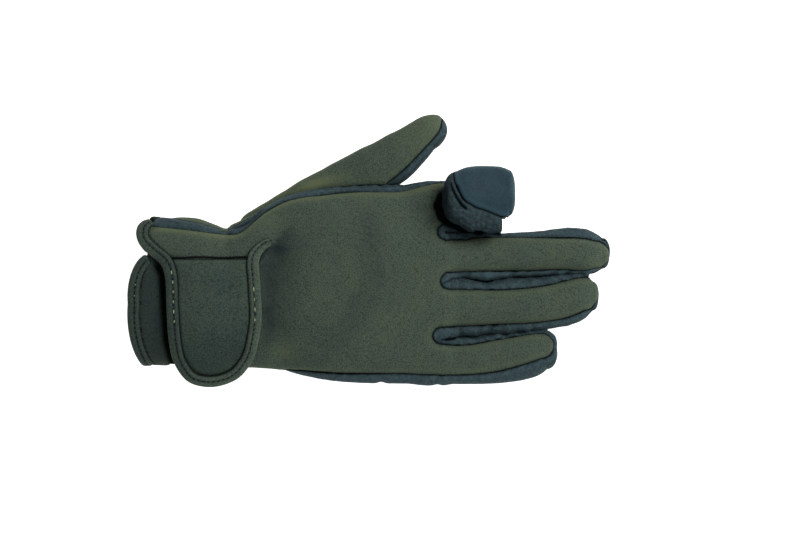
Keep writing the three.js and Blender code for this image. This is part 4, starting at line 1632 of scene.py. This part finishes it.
@dataclass
class FoldedTip:
    """The index fingertip, folded back over its finger: smooth pad, brushed wall, olive underside."""

    pitch: float = 0.55
    wall: float = 1.6
    mouth: float = -9.4
    tongue_z: float = 28.5
    pad_z: float = 27.0
    back_z: float = 24.0
    tube: Tube = field(
        default_factory=lambda: Tube(
            Rows("x y half floor height", [[-13, -3.2, 12.4, 19.6, 15.6], [-10, 0.0, 16.9, 19.6, 15.8],
                                           [2, -0.5, 16.9, 20.4, 16.2], [9, -0.5, 16.2, 21.5, 16.0],
                                           [14, -1.2, 13.4, 23.0, 14.8]]),
            tip=7.4,
            start_tip=3.4,
            place=Place(60, 26.5, 180),
        )
    )
    pad: Band = field(
        default_factory=lambda: Band(
            Rows("x low high", [[-24, -24, 12.0], [-11, -24, 9.3], [-8.4, -24, 9.0], [-1.1, -24, 6.0],
                                [4, -24, 4.3], [6.7, -24, 2.9], [9.2, -24, 1.2], [10.9, -24, -0.6],
                                [12.4, -24, -3.2], [14, -24, -7.2]]),
            tip=2,
        )
    )
    # The two folds left of the pad and the ridge between them, in plan, with half widths
    folds: tuple[tuple[tuple[float, float, float], ...], ...] = (
        ((42.7, 34.6, 0.15), (43.6, 31.4, 0.4), (45.6, 27.4, 0.45), (48.2, 23.6, 0.6), (50.4, 21.6, 0.5)),
        ((44.7, 35.0, 0.1), (46.0, 32.6, 0.4), (47.7, 29.6, 0.7), (49.0, 26.8, 0.45), (50.6, 24.6, 0.1)),
    )
    ridge: tuple[tuple[float, float, float], ...] = (
        (43.9, 35.6, 0.2), (44.7, 32.2, 0.5), (46.9, 28.4, 0.6), (49.0, 25.2, 0.6), (52.4, 22.6, 0.9),
    )

    def build(self, hand: HandShell) -> None:
        """Makes the pad, the wall, the underside and the fold that joins it to the finger.

        Args:
            hand: The hand.
        """
        skin = net(self.tube.distance, (-18, -19, 18), (23, 19, 41), self.pitch)
        along, across, up = skin.points.T.copy()
        pad_side = np.minimum(self.pad.inside(along, across), up - self.pad_z)
        skin.marks = {"along": along, "up": up, "pad": pad_side}
        skin = Skin(self.tube.place.world(skin.points), skin.faces, skin.marks)
        pad = skin.clipped(skin.marks["pad"])
        tongue = np.maximum(pad.marks["along"] - self.mouth, pad.marks["up"] - self.tongue_z)
        pad = pad.clipped(tongue).largest()
        rest = skin.clipped(-skin.marks["pad"])
        rest = rest.clipped(rest.marks["along"] - self.mouth)
        wall = rest.clipped(rest.marks["up"] - self.back_z).largest()
        under = rest.clipped(self.back_z - rest.marks["up"]).largest()

        def soft(points: Array, away: Array) -> Array:
            """Returns the soft waves of the pad and the underside."""
            return 0.12 * ripple(points, length=9, seed=81)

        def crease(points: Array) -> Array:
            """Returns how far points lie in the two folds, from 0 to 1."""
            return np.maximum.reduce([brushed(points, fold, 0.7, 0.7) for fold in self.folds])

        def folded(points: Array, away: Array) -> Array:
            """Returns the wall's ridge and lumps, less its folds."""
            ridge = brushed(points, self.ridge, 0.8, 1.0)
            lumps = 0.4 * ripple(points, length=6.0, seed=82) + 0.15 * ripple(points, length=2.6, seed=83)
            seen = np.clip((36 - points[:, 1]) / 6, 0.1, 1)  # the far side keeps a clean outline
            return 0.8 * ridge - 1.4 * crease(points) + lumps * seen

        def dark(points: Array, away: Array) -> Array:
            """Returns the painted shade in the wall's folds and the painted shadow in the gap beside it."""
            return np.maximum(0.97 * crease(points), 0.55 * hand.beside_tip(points))

        def gloom(points: Array) -> Array:
            """Returns the shade towards the wall's left end."""
            return 0.72 * ramp(points[:, 0], 44.5, 39.5)

        smooth = Sewing(drop=0.5, width=1.0, puff=0.3, line=0.45, wall=self.wall)
        rough = Sewing(drop=0.7, width=1.0, puff=0.1, line=0.55, painted_highlight=0.0, wall=self.wall)
        piece(smooth.sewn(pad, soft), "pad_of_folded_tip", Finish.PAD, "navy_pad", "fingertip_pad")
        side = rough.sewn(wall, folded, dark, gloom)
        piece(side, "wall_of_folded_tip", Finish.SUEDE, "navy_suede", "fingertip_wall")
        underside = rough.sewn(under, soft)
        # The underside is painted black towards its left end, as shadow under the wall
        gap = ramp(underside.points[:, 0], 50, 45)
        underside.marks["seam"] = np.maximum(underside.marks["seam"], gap)
        piece(underside, "back_of_folded_tip", Finish.NEOPRENE, "olive_neoprene", "fingertip_back")
        piece(self._hinge(), "fold_of_folded_tip", Finish.NEOPRENE, "olive_neoprene")

    @staticmethod
    def _hinge() -> Skin:
        """Returns the fold between the finger's open end and the tip that is turned back."""

        def block(place: tuple[Array, ...], low: tuple[float, ...], high: tuple[float, ...]) -> Array:
            """Returns the distance to a block with rounded edges.

            Args:
                place: Places in x, y and z.
                low: The lowest corner.
                high: The highest corner.

            Returns:
                The distance at each place.
            """
            edge = 0.9
            parts = [np.abs(v - (a + b) / 2) - (b - a) / 2 + edge for v, a, b in zip(place, low, high)]
            outside = np.sqrt(sum(np.maximum(p, 0) ** 2 for p in parts))
            return outside + np.minimum(np.maximum(np.maximum(parts[0], parts[1]), parts[2]), 0) - edge

        def distance(x: Array, y: Array, z: Array) -> Array:
            """Returns the distance to the flat part with its end turned down."""
            flat = block((x, y, z), (62, 16.5, 19.35), (71.2, 28, 21.4))
            drop = block((x, y, z), (69.7, 16.5, 17), (71.3, 28, 21.4))
            return smooth_union(flat, drop, 1.0)

        return net(distance, (61, 15.5, 16), (72.5, 29, 22.5), 0.4)


# The closure and the tapes
@dataclass
class Path:
    """A line through space with the outward direction and the inward direction at each point."""

    points: Array
    up: Array
    across: Array

    def along(self) -> Array:
        """Returns the length from the start at each point."""
        return np.concatenate([[0], np.cumsum(np.linalg.norm(np.diff(self.points, axis=0), axis=1))])

    def moved(self, across: float, up: float) -> "Path":
        """Returns the line moved sideways and upwards."""
        points = self.points + across * self.across + up * self.up
        return Path(points, self.up, self.across)


def even(line: Array, step: float) -> Array:
    """Returns a line's points spread evenly, about step apart, by straight stretches.

    Args:
        line: The line's points.
        step: About the distance between two.

    Returns:
        The points at even distances.
    """
    along = np.concatenate([[0], np.cumsum(np.linalg.norm(np.diff(line, axis=0), axis=1))])
    count = max(2, int(round(along[-1] / step)) + 1)
    at = np.linspace(0, along[-1], count)
    return np.column_stack([np.interp(at, along, column) for column in line.T])


def curved(corners: Sequence[Sequence[float]], step: float, samples: int = 1200) -> Array:
    """Returns a smooth line through some corners, evenly spread.

    Args:
        corners: The corners.
        step: About the distance between two points.
        samples: How finely the curve is drawn first.

    Returns:
        The curve's points.
    """
    points = np.array(corners, float)
    chord = np.sqrt(np.linalg.norm(np.diff(points, axis=0), axis=1))
    knots = np.concatenate([[0], np.cumsum(chord)])
    fine = np.linspace(0, knots[-1], samples)
    slope = np.gradient(points, knots, axis=0)
    i = np.clip(np.searchsorted(knots, fine, "right") - 1, 0, len(knots) - 2)
    span = (knots[i + 1] - knots[i])[:, None]
    t = ((fine - knots[i])[:, None]) / span
    line = (
        (2 * t**3 - 3 * t**2 + 1) * points[i]
        + (t**3 - 2 * t**2 + t) * span * slope[i]
        + (3 * t**2 - 2 * t**3) * points[i + 1]
        + (t**3 - t**2) * span * slope[i + 1]
    )
    return even(line, step)


@dataclass
class Tape:
    """Binding tape folded round an edge: a flat puffy loop with a groove where it is sewn."""

    width: float = TAPE_WIDTH
    thick: float = 4.0
    stitch_at: float = 0.45  # from the tape's middle, towards the cloth
    groove: float = 0.5
    pull: float = 2.6  # distance between two stitches
    around: int = 34
    end: float = 1.4  # how far from its end it starts to close
    side_power: float = 0.72  # how square its section is
    top_power: float = 0.8

    def swept(self, path: Path, thick: Array | None = None, share: Array | None = None) -> Skin:
        """Returns the tape along a path through the middle of its section.

        Args:
            path: The line, with up and across at each point.
            thick: The tape's thickness at each point, where it changes.
            share: Its width's share at each point, where it changes.

        Returns:
            The closed tape.
        """
        count = len(path.points)
        thick = np.full(count, self.thick) if thick is None else thick
        along = path.along()
        ends = np.minimum(along, along[-1] - along) / self.end
        close = np.sqrt(np.clip(1 - (1 - np.clip(ends, 0, 1)) ** 2, 0.02, 1))
        share = np.ones(count) if share is None else share
        angle = np.linspace(0, 2 * math.pi, self.around, endpoint=False)
        c, s = np.cos(angle), np.sin(angle)
        side = np.sign(c) * np.abs(c) ** self.side_power
        top = np.sign(s) * np.abs(s) ** self.top_power
        rings = []
        for i in range(count):
            a = side * self.width / 2 * close[i] * share[i]
            u = top * thick[i] / 2 * close[i]
            press = 0.75 + 0.25 * math.cos(2 * math.pi * along[i] / self.pull)
            dip = self.groove * press * bump(a - self.stitch_at, 0.55)
            dip = dip + 0.3 * bump(a - self.width / 2, 1.1)
            u = u - np.where(s > 0, dip * close[i], 0)
            rings.append(path.points[i] + a[:, None] * path.across[i] + u[:, None] * path.up[i])
        points = np.vstack(rings)
        n = self.around
        r, k = np.meshgrid(np.arange(count - 1), np.arange(n), indexing="ij")
        a, b = r * n + k, r * n + (k + 1) % n
        quads = np.stack([a, b, b + n, a + n], axis=-1).reshape(-1, 4)
        first = np.column_stack([np.zeros(n - 2, int), np.arange(2, n), np.arange(1, n - 1)])
        last = (count - 1) * n + first[:, ::-1]
        faces = np.vstack([quads[:, [0, 1, 2]], quads[:, [0, 2, 3]], first, last])
        skin = Skin(points, faces)
        first, second, third = (points[faces[:, i]] for i in range(3))
        outward = np.cross(second - first, third - first)
        if np.sum(points[faces].mean(axis=1) * outward) < 0:
            skin = Skin(points, faces[:, ::-1])
        tall = np.tile(side * self.width / 2, count)
        upper = np.tile(s > 0, count)
        # Painted: shade in the stitch groove and along the tape's edge, shade on the tapes' left part away
        # from the key light, and a highlight along its other edge
        skin.marks = {
            "seam": np.where(upper, 0.6 * bump(tall - self.stitch_at, 0.34), 0)
            + np.where(upper, bump(tall - self.width / 2, 0.42), 0),
            "shade": np.where(points[:, 1] > -4, 0.3, 0.42) * ramp(points[:, 0], -86, -96),
            "rim": np.where(upper, bump(tall + self.width / 2, 0.9), 0),
        }
        return skin


@dataclass
class ClosureTab:
    """The closure tab over the cuff's split, with its bound edge."""

    hand: HandShell
    thick: float = 3.0
    rise: float = 0.5
    release: float = 9.0
    seam_y: float = -3.9
    hook_x: float = -70.0  # from here on, the tape is the hook's
    edge: tuple[tuple[float, float], ...] = (
        (-112.0, 14.6), (-114.9, 13.8), (-116.8, 11.6), (-117.2, 8.6), (-115.8, 4.6), (-110.4, -0.6),
        (-104.8, -5.4), (-102.2, -12.0), (-101.2, -30.0), (-100.2, -46.0), (-98.0, -56.8), (-92.0, -65.5),
        (-84.0, -67.9), (-76.6, -67.1), (-69.4, -63.8), (-64.9, -58.8), (-61.9, -53.3), (-60.2, -47.0),
        (-58.5, -35.0), (-59.2, -18.0), (-59.9, -6.0), (-58.9, -2.2), (-56.4, 1.2), (-53.6, 3.4),
        (-50.6, 4.7),
    )

    def back_height(self, x: Array, y: Array) -> Array:
        """Returns the height of the cuff's back in plan, running on straight past its side.

        Args:
            x: Places in x.
            y: Places in y.

        Returns:
            The height at each place.
        """
        middle, half, floor, height = self.hand.hand.section(x)
        release = middle - half + self.release
        reach = (1 - CREST) * height

        def dome(place: Array) -> Array:
            """Returns the height on the cuff's round back."""
            t = np.minimum(np.abs(place - middle) / half, 0.97)
            return floor + CREST * height + reach * (1 - t**DOME) ** (1 / DOME)

        straight = dome(release) + (dome(release + 1) - dome(release)) * (y - release)
        return np.where(y > release, dome(y), straight)

    def lift(self, y: Array) -> Array:
        """Returns how far the tab's underside is above the cuff."""
        return self.rise + TAPE_PROUD * ramp(y, 0, -4)

    def tape_thick(self, y: Array) -> Array:
        """Returns the thickness of the tape along the tab's edge."""
        return np.minimum(self.thick + TAPE_PROUD, 1.9 + np.maximum(-1 - y, 0) / 3)

    def path(self) -> Path:
        """Returns the line through the middle of the tape.

        Returns:
            The line with its directions.
        """
        line = curved(self.edge, PATH_STEP)
        x, y = line.T
        base = self.back_height(x, y)
        # The hook's end lies in the cloth
        sunk = np.where(x > self.hook_x, 0.9 * ramp(y, -2, 4), 0.0)
        z = base + self.lift(y) + self.tape_thick(y) / 2 - sunk
        points = np.column_stack([x, y, z])
        run = np.gradient(points, axis=0)
        run /= np.linalg.norm(run, axis=1, keepdims=True)
        step = 0.5
        slope_x = (self.back_height(x + step, y) - self.back_height(x - step, y)) / (2 * step)
        slope_y = (self.back_height(x, y + step) - self.back_height(x, y - step)) / (2 * step)
        up = np.column_stack([-slope_x, -slope_y, np.ones(len(x))])
        up -= run * np.sum(up * run, axis=1, keepdims=True)
        up /= np.linalg.norm(up, axis=1, keepdims=True)
        across = np.cross(up, run)
        return Path(points, up, across)

    def build(self) -> Path:
        """Makes the tab and its tape, and returns the tape's path.

        Returns:
            The tape's line.
        """
        path = self.path()
        thick = self.tape_thick(path.points[:, 1])
        x, y, _ = path.points.T
        hook = np.where(x > self.hook_x, 1 - 0.28 * ramp(y, -3, 4), 1.0)
        tape = Tape().swept(path, thick, hook)
        piece(tape, "binding_of_tab", Finish.TAPE, "edge_tape", "tab_binding")
        piece(self._sheet(path), "tab_of_wrist", Finish.TAB, "olive_neoprene", "wrist_tab")
        return path

    def _sheet(self, path: Path) -> Skin:
        """Returns the tab inside its tape, crowned, with its seam to the wrist band.

        Args:
            path: The tape's line.

        Returns:
            The closed sheet.
        """
        pitch = 0.8
        xs, ys = np.arange(-104, -54, pitch), np.arange(-70, -2, pitch)
        gx, gy = (grid.ravel() for grid in np.meshgrid(xs, ys, indexing="ij"))
        n = len(ys)
        i, j = np.meshgrid(np.arange(len(xs) - 1), np.arange(n - 1), indexing="ij")
        a = (i * n + j).ravel()
        faces = np.vstack([np.column_stack([a, a + n, a + n + 1]), np.column_stack([a, a + n + 1, a + 1])])
        base = self.back_height(gx, gy) + self.lift(gy)
        flat = Skin(np.column_stack([gx, gy, base]), faces)
        line = path.points[:, :2]
        away = polyline_distance(flat.points, line[::3])
        closed = line[line[:, 1] < self.seam_y]
        within = self._within(gx, gy, closed)
        side = np.where(within, away, -away) - TAPE_WIDTH / 2 + 0.35
        skin = flat.clipped(np.minimum(side, self.seam_y - gy)).largest()
        rim = skin.rim_distance()
        crown = self.thick - 0.25 + 0.45 * (1 - bump(rim, 7.0)) - 0.8 * bump(rim, 0.9)
        crown = crown + 0.12 * ripple(skin.points[:, :2], length=16, seed=91)
        crown = crown - 1.3 * bump(self.seam_y - skin.points[:, 1], 1.3)  # pressed where it is sewn on
        # Painted: shade along the sheet's edge beside its tape, a highlight just inside it, and shade towards
        # the tab's lower end
        marks = {
            "seam": bump(rim, 0.55),
            "rim": 0.3 * bump(rim - 2.6, 1.6),
            "shade": 0.26 * ramp(skin.points[:, 1], -36, -54),
        }
        top = skin.points + np.array([0, 0, 1.0]) * crown[:, None]
        return Skin(top, skin.faces, marks).walled(skin.points)

    @staticmethod
    def _within(x: Array, y: Array, line: Array) -> Array:
        """Tells which places lie inside a closed line.

        Args:
            x: Places in x.
            y: Places in y.
            line: The closed line in plan.

        Returns:
            Whether each place lies inside.
        """
        inside = np.zeros(len(x), bool)
        for (ax, ay), (bx, by) in zip(line, np.roll(line, -1, axis=0)):
            if ay != by:
                cross = ((ay > y) != (by > y)) & (x < (bx - ax) * (y - ay) / (by - ay) + ax)
                inside ^= cross
        return inside


@dataclass
class CuffBindings:
    """The tape round the cuff's mouth, on the flap and on the palm."""

    hand: HandShell
    thick: float = WALL + 2 * TAPE_PROUD
    samples: int = 900

    def _ring(self, arcs: Sequence[tuple[float, float, float]], start: float, end: float) -> Path:
        """Returns the tape's path round the mouth between two angles in degrees.

        Args:
            arcs: The arcs that round the mouth out.
            start: Where it starts.
            end: Where it ends.

        Returns:
            The line with its directions.
        """
        angle = np.radians(np.linspace(start, end, self.samples))
        c, s = np.cos(angle), np.sin(angle)
        x = np.full(len(angle), MOUTH_X)
        for _ in range(3):
            middle, half, floor, height = self.hand.hand.section(x, WALL / 2)
            power = np.where(s > 0, 2 / DOME, 2 / BASE)
            reach = np.where(s > 0, (1 - CREST) * height, CREST * height)
            y = middle + half * np.sign(c) * np.abs(c) ** power
            z = floor + CREST * height + reach * np.sign(s) * np.abs(s) ** power
            x = self.hand.mouth(y, arcs, 0.0)
        points = even(np.column_stack([x, y, z]), PATH_STEP)
        run = np.gradient(points, axis=0)
        run /= np.linalg.norm(run, axis=1, keepdims=True)
        inward = np.array([1.0, 0, 0]) - run * run[:, :1]
        inward /= np.linalg.norm(inward, axis=1, keepdims=True)
        up = np.cross(run, inward)
        middle = np.array([0, points[:, 1].mean(), 16.0])
        up *= np.sign(np.sum(up * (points - middle) * [0, 1, 1], axis=1, keepdims=True))
        return Path(points, up, inward).moved(TAPE_WIDTH / 2, 0)

    def build(self) -> dict[str, Path]:
        """Makes both tapes and returns their paths.

        Returns:
            The tapes' lines by name.
        """
        flap = self._ring(self.hand.flap_mouth, 196.5, 61.0)
        palm = self._ring([self.hand.palm_mouth], 197.5, 381)
        tape = Tape(thick=self.thick)
        for name, path, node in (("flap", flap, "flap_binding"), ("palm", palm, "palm_binding")):
            # The palm's tape narrows and darkens at the lobe
            end = ramp(path.points[:, 2], 14, 21) * (path.points[:, 1] > 0) * (name == "palm")
            path.points[:, 0] -= 1.5 * end
            skin = tape.swept(path, share=1 - 0.5 * end)
            skin.points[:, 2] = np.maximum(skin.points[:, 2], 0.0)
            skin.marks["seam"] = np.maximum(skin.marks["seam"], 0.9 * np.repeat(end, tape.around))
            piece(skin, f"binding_of_{name}", Finish.TAPE, "edge_tape", node)
        return {"flap": flap, "palm": palm}


# Sewing thread, laid along paths by Geometry Nodes
def softened(line: Array, rounds: int = 6) -> Array:
    """Returns a line with its small corners rounded off.

    Args:
        line: The line's points.
        rounds: How often.

    Returns:
        The softened line.
    """
    line = line.copy()
    for _ in range(rounds):
        line[1:-1] = (line[:-2] + 2 * line[1:-1] + line[2:]) / 4
    return line


def runs(line: Array, keep: Array, least: int = 8) -> list[Array]:
    """Returns the stretches of a line where keep is true.

    Args:
        line: The line's points.
        keep: Which points stay.
        least: The fewest points of a stretch.

    Returns:
        The points of each stretch.
    """
    chosen = np.flatnonzero(keep)
    parts = np.split(chosen, np.flatnonzero(np.diff(chosen) > 1) + 1)
    return [line[part] for part in parts if len(part) >= least]


class Lay(Enum):
    """How thread lies along its line."""

    DASHES = "dashes"
    CORD = "cord"


@dataclass(frozen=True)
class StitchRow:
    """One row of stitches along a line."""

    name: str
    finish: Finish
    slot: str
    pitch: float = 2.6
    length: float = 1.7
    thick: float = 0.42
    seed: int = 7
    lay_as: Lay = Lay.DASHES
    uneven: float = 0.25  # how much shorter a stitch may be

    def tree(self) -> bpy.types.NodeTree:
        """Returns the node tree that lays stitches along a line.

        Returns:
            The node tree.
        """
        tree = bpy.data.node_groups.new(f"{self.name}_nodes", "GeometryNodeTree")
        face = tree.interface
        face.new_socket("Geometry", in_out="INPUT", socket_type="NodeSocketGeometry")
        for name in ("Pitch", "Length", "Thickness", "Uneven"):
            face.new_socket(name, in_out="INPUT", socket_type="NodeSocketFloat")
        face.new_socket("Seed", in_out="INPUT", socket_type="NodeSocketInt")
        face.new_socket("Material", in_out="INPUT", socket_type="NodeSocketMaterial")
        face.new_socket("Geometry", in_out="OUTPUT", socket_type="NodeSocketGeometry")
        given = tree.nodes.new("NodeGroupInput").outputs
        line = add(tree, "GeometryNodeMeshToCurve", {"Mesh": given["Geometry"]})
        if self.lay_as is Lay.CORD:
            radius = add(tree, "ShaderNodeMath", {0: given["Thickness"], 1: 0.5}, operation="MULTIPLY")
            sizes = {"Resolution": 6, "Radius": radius.outputs[0]}
            section = add(tree, "GeometryNodeCurvePrimitiveCircle", sizes)
            cord = add(
                tree,
                "GeometryNodeCurveToMesh",
                {"Curve": line.outputs[0], "Profile Curve": section.outputs[0], "Fill Caps": True},
            )
            return self._ended(tree, cord.outputs[0], given["Material"])
        spread = add(
            tree,
            "GeometryNodeResampleCurve",
            {"Curve": line.outputs[0], "Length": given["Pitch"]},
            mode="LENGTH",
        )
        turn = add(
            tree,
            "FunctionNodeAlignRotationToVector",
            {"Vector": add(tree, "GeometryNodeInputTangent").outputs[0]},
            axis="X",
        )
        size = add(
            tree, "ShaderNodeCombineXYZ", {0: given["Length"], 1: given["Thickness"], 2: given["Thickness"]}
        )
        short = add(tree, "ShaderNodeMath", {0: 1.0, 1: given["Uneven"]}, operation="SUBTRACT")
        vary = add(
            tree,
            "FunctionNodeRandomValue",
            {"Min": short.outputs[0], "Max": 1.0, "Seed": given["Seed"]},
            data_type="FLOAT",
        )
        scaled = add(
            tree, "ShaderNodeVectorMath", {0: size.outputs[0], "Scale": vary.outputs[1]}, operation="SCALE"
        )
        ball = add(tree, "GeometryNodeMeshUVSphere", {"Segments": 6, "Rings": 4, "Radius": 0.5})
        laid = add(
            tree,
            "GeometryNodeInstanceOnPoints",
            {
                "Points": spread.outputs[0],
                "Instance": ball.outputs[0],
                "Rotation": turn.outputs[0],
                "Scale": scaled.outputs[0],
            },
        )
        return self._ended(tree, laid.outputs[0], given["Material"])

    @staticmethod
    def _ended(
        tree: bpy.types.NodeTree, made: bpy.types.NodeSocket, material: bpy.types.NodeSocket
    ) -> bpy.types.NodeTree:
        """Ends a tree: instances made real, and the material set.

        Args:
            tree: The node tree.
            made: What has been made.
            material: The thread's material.

        Returns:
            The same tree.
        """
        real = add(tree, "GeometryNodeRealizeInstances", {"Geometry": made})
        painted = add(tree, "GeometryNodeSetMaterial", {"Geometry": real.outputs[0], "Material": material})
        end = tree.nodes.new("NodeGroupOutput")
        tree.links.new(painted.outputs[0], end.inputs[0])
        return tree

    def lay(self, lines: Sequence[Array]) -> bpy.types.Object:
        """Lays the stitches along lines and returns them as one plain mesh.

        Args:
            lines: Points of each line, in mm.

        Returns:
            The piece.
        """
        points = np.vstack(lines) * MM
        edges, start = [], 0
        for line in lines:
            edges += [(start + i, start + i + 1) for i in range(len(line) - 1)]
            start += len(line)
        mesh = bpy.data.meshes.new(f"{self.name}_line")
        mesh.from_pydata(points.tolist(), edges, [])
        carrier = bpy.data.objects.new(f"{self.name}_line", mesh)
        bpy.context.scene.collection.objects.link(carrier)
        tree = self.tree()
        modifier = carrier.modifiers.new("stitches", "NODES")
        values = {
            "Pitch": self.pitch * MM,
            "Length": self.length * MM,
            "Thickness": self.thick * MM,
            "Uneven": self.uneven,
            "Seed": self.seed,
            "Material": WARDROBE.material(self.finish),
        }
        modifier.node_group = tree
        for item in tree.interface.items_tree:
            if item.in_out == "INPUT" and item.name in values:
                modifier[item.identifier] = values[item.name]
        graph = bpy.context.evaluated_depsgraph_get()
        done = bpy.data.meshes.new_from_object(carrier.evaluated_get(graph), depsgraph=graph)
        done.name = self.name
        bpy.data.objects.remove(carrier)
        made = bpy.data.objects.new(self.name, done)
        bpy.context.scene.collection.objects.link(made)
        done.polygons.foreach_set("use_smooth", np.ones(len(done.polygons), bool))
        return dressed(made, self.slot)


@dataclass
class Stitching:
    """The rows of thread on the closure, the cuff and the seams."""

    lift: float = 0.22

    DARK = {"pitch": 2.6, "length": 1.9, "thick": 0.74}  # the dark rows' stitches

    def build(self, tab: ClosureTab, edge: Path, bindings: dict[str, Path], seams: list[Array]) -> None:
        """Lays every row of thread.

        Args:
            tab: The closure tab.
            edge: The tape's line.
            bindings: The cuff's tapes by name.
            seams: The back's open edges.
        """
        self._tab(tab, edge)
        self._flap(bindings["flap"])
        self._seams(seams)
        self._wrist_band(tab)

    def _tab(self, tab: ClosureTab, edge: Path) -> None:
        """Lays the tab's row: light where it catches the light, dark elsewhere.

        Args:
            tab: The closure tab.
            edge: The tape's line.
        """
        tape = Tape()
        height = tab.tape_thick(edge.points[:, 1]) / 2 - tape.groove + self.lift
        line = edge.points + tape.stitch_at * edge.across + height[:, None] * edge.up
        x, y = line[:, 0], line[:, 1]
        light = ((x < -88) & (y < -11) & (y > -37)) | ((x > -67) & (y < -20) & (y > -36))
        size = {"pitch": 4.3, "length": 2.6, "thick": 0.62}
        row = StitchRow("lit_stitches_of_tab", Finish.LIT_THREAD, "edge_tape", **size)
        row.lay(runs(line + 0.12 * edge.up, light))
        row = StitchRow("dark_stitches_of_tab", Finish.DARK_THREAD, "edge_tape", **self.DARK, seed=8)
        row.lay([line])

    def _flap(self, edge: Path) -> None:
        """Lays the flap's row, painted as lit thread near its upper end.

        Args:
            edge: The flap's tape.
        """
        tape = Tape()
        height = CuffBindings.thick / 2 - tape.groove + self.lift
        line = edge.points + tape.stitch_at * edge.across + height * edge.up
        light = (line[:, 1] > -24) & (line[:, 1] < -7)
        size = {"pitch": 5.2, "length": 1.0, "thick": 0.4}
        row = StitchRow("lit_stitches_of_flap", Finish.LIT_THREAD, "edge_tape", **size)
        row.lay(runs(line + 0.1 * edge.up, light))
        row = StitchRow("dark_stitches_of_flap", Finish.DARK_THREAD, "edge_tape", **self.DARK, seed=9)
        row.lay(runs(line, line[:, 1] < -7))

    @staticmethod
    def _seams(seams: list[Array]) -> None:
        """Lays short dark stitches along the back's seams, where they face up.

        Args:
            seams: The back's open edges.
        """
        lines: list[Array] = []
        for seam in seams:
            if len(seam) < 40:
                continue
            line = softened(even(seam, 0.5))
            x, y, z = line.T
            shown = (z > 12) & (x > -100) & ((y < 3) | (x > 38))
            lines += runs(line + [0, 0, 0.3], shown, 12)
        size = {"pitch": 2.1, "length": 1.5, "thick": 0.45}
        StitchRow("seam_stitches_of_back", Finish.DARK_THREAD, "olive_neoprene", **size).lay(lines)

    @staticmethod
    def _wrist_band(tab: ClosureTab) -> None:
        """Lays the thick zigzag thread that joins the tab to the wrist band.

        Args:
            tab: The closure tab.
        """
        x = np.arange(-101.4, -63.2, 0.25)
        zigzag = 2 * np.abs((x / 1.6) % 1 - 0.5) - 0.5
        y = tab.seam_y + 0.3 + 0.35 * zigzag + 0.2 * np.sin(x / 3.7)
        z = tab.back_height(x, y) + 0.5 + 0.15 * zigzag
        row = StitchRow(
            "zigzag_seam_of_tab", Finish.DARK_THREAD, "olive_neoprene", thick=1.1, lay_as=Lay.CORD
        )
        row.lay([np.column_stack([x, y, z])])


# Floor, light and camera
@dataclass
class Studio:
    """A white table, soft lights all round and a camera straight above."""

    target: tuple[float, float] = (16.38, -8.32)
    lens: float = 300.0
    sensor: float = 36.0
    view_width: float = 416.0
    focus_z: float = 20.0

    def build(self) -> None:
        """Makes the floor, the lights, the world and the camera."""
        self._floor()
        self._camera()
        self._lights()

    def _camera(self) -> None:
        """Looks straight down, with the fingers to the right as in the photograph."""
        data = bpy.data.cameras.new("camera")
        data.lens, data.sensor_width, data.sensor_fit = self.lens, self.sensor, "HORIZONTAL"
        data.clip_end = 50
        camera = bpy.data.objects.new("camera", data)
        away = self.view_width * self.lens / self.sensor + self.focus_z
        camera.location = (self.target[0] * MM, self.target[1] * MM, away * MM)
        bpy.context.scene.collection.objects.link(camera)
        bpy.context.scene.camera = camera

    def _floor(self) -> None:
        """A pale table that glows a little, as a light table does."""
        half = 2.5
        mesh = bpy.data.meshes.new("table")
        corners = [(-half, -half, 0), (half, -half, 0), (half, half, 0), (-half, half, 0)]
        mesh.from_pydata(corners, [], [(0, 1, 2, 3)])
        table = bpy.data.objects.new("table", mesh)
        material = bpy.data.materials.new("white_light_table")
        material.use_nodes = True
        shader = material.node_tree.nodes["Principled BSDF"]
        shader.inputs["Base Color"].default_value = (0.85, 0.85, 0.85, 1)
        shader.inputs["Roughness"].default_value = 0.9
        shader.inputs["Emission Color"].default_value = (1, 1, 1, 1)
        shader.inputs["Emission Strength"].default_value = 0.9
        mesh.materials.append(material)
        bpy.context.scene.collection.objects.link(table)

    def _lights(self) -> None:
        """A large soft key from the upper right, a fill from below, one from above and an even sky."""
        world = bpy.data.worlds.new("studio")
        world.use_nodes = True
        world.node_tree.nodes["Background"].inputs[0].default_value = (1, 1, 1, 1)
        world.node_tree.nodes["Background"].inputs[1].default_value = 0.36
        bpy.context.scene.world = world
        for name, place, size, power in (
            ("key", (0.6, 0.44, 0.64), 0.45, 6.6),
            ("fill", (0.15, -0.85, 0.9), 0.7, 2.2),
            ("top", (0.0, -0.2, 1.9), 1.2, 5.4),
        ):
            data = bpy.data.lights.new(name, "AREA")
            data.shape, data.size, data.energy = "DISK", size, power
            lamp = bpy.data.objects.new(name, data)
            lamp.location = place
            aim = -np.array(place)
            lamp.rotation_euler = (
                math.atan2(math.hypot(aim[0], aim[1]), -aim[2]),
                0,
                math.atan2(aim[1], aim[0]) - math.pi / 2,
            )
            bpy.context.scene.collection.objects.link(lamp)
        bpy.context.scene.view_settings.view_transform = "Standard"


def main() -> None:
    """Builds the glove and its studio."""
    logging.basicConfig(level=logging.INFO, format="%(name)s: %(message)s", force=True)
    Studio().build()
    hand, thumb = HandShell(), ThumbStall()
    seams = hand.build(thumb)
    thumb.build(hand)
    FoldedTip().build(hand)
    tab = ClosureTab(hand)
    edge = tab.build()
    bindings = CuffBindings(hand).build()
    Stitching().build(tab, edge, bindings, seams)


if __name__ == "__main__":
    main()
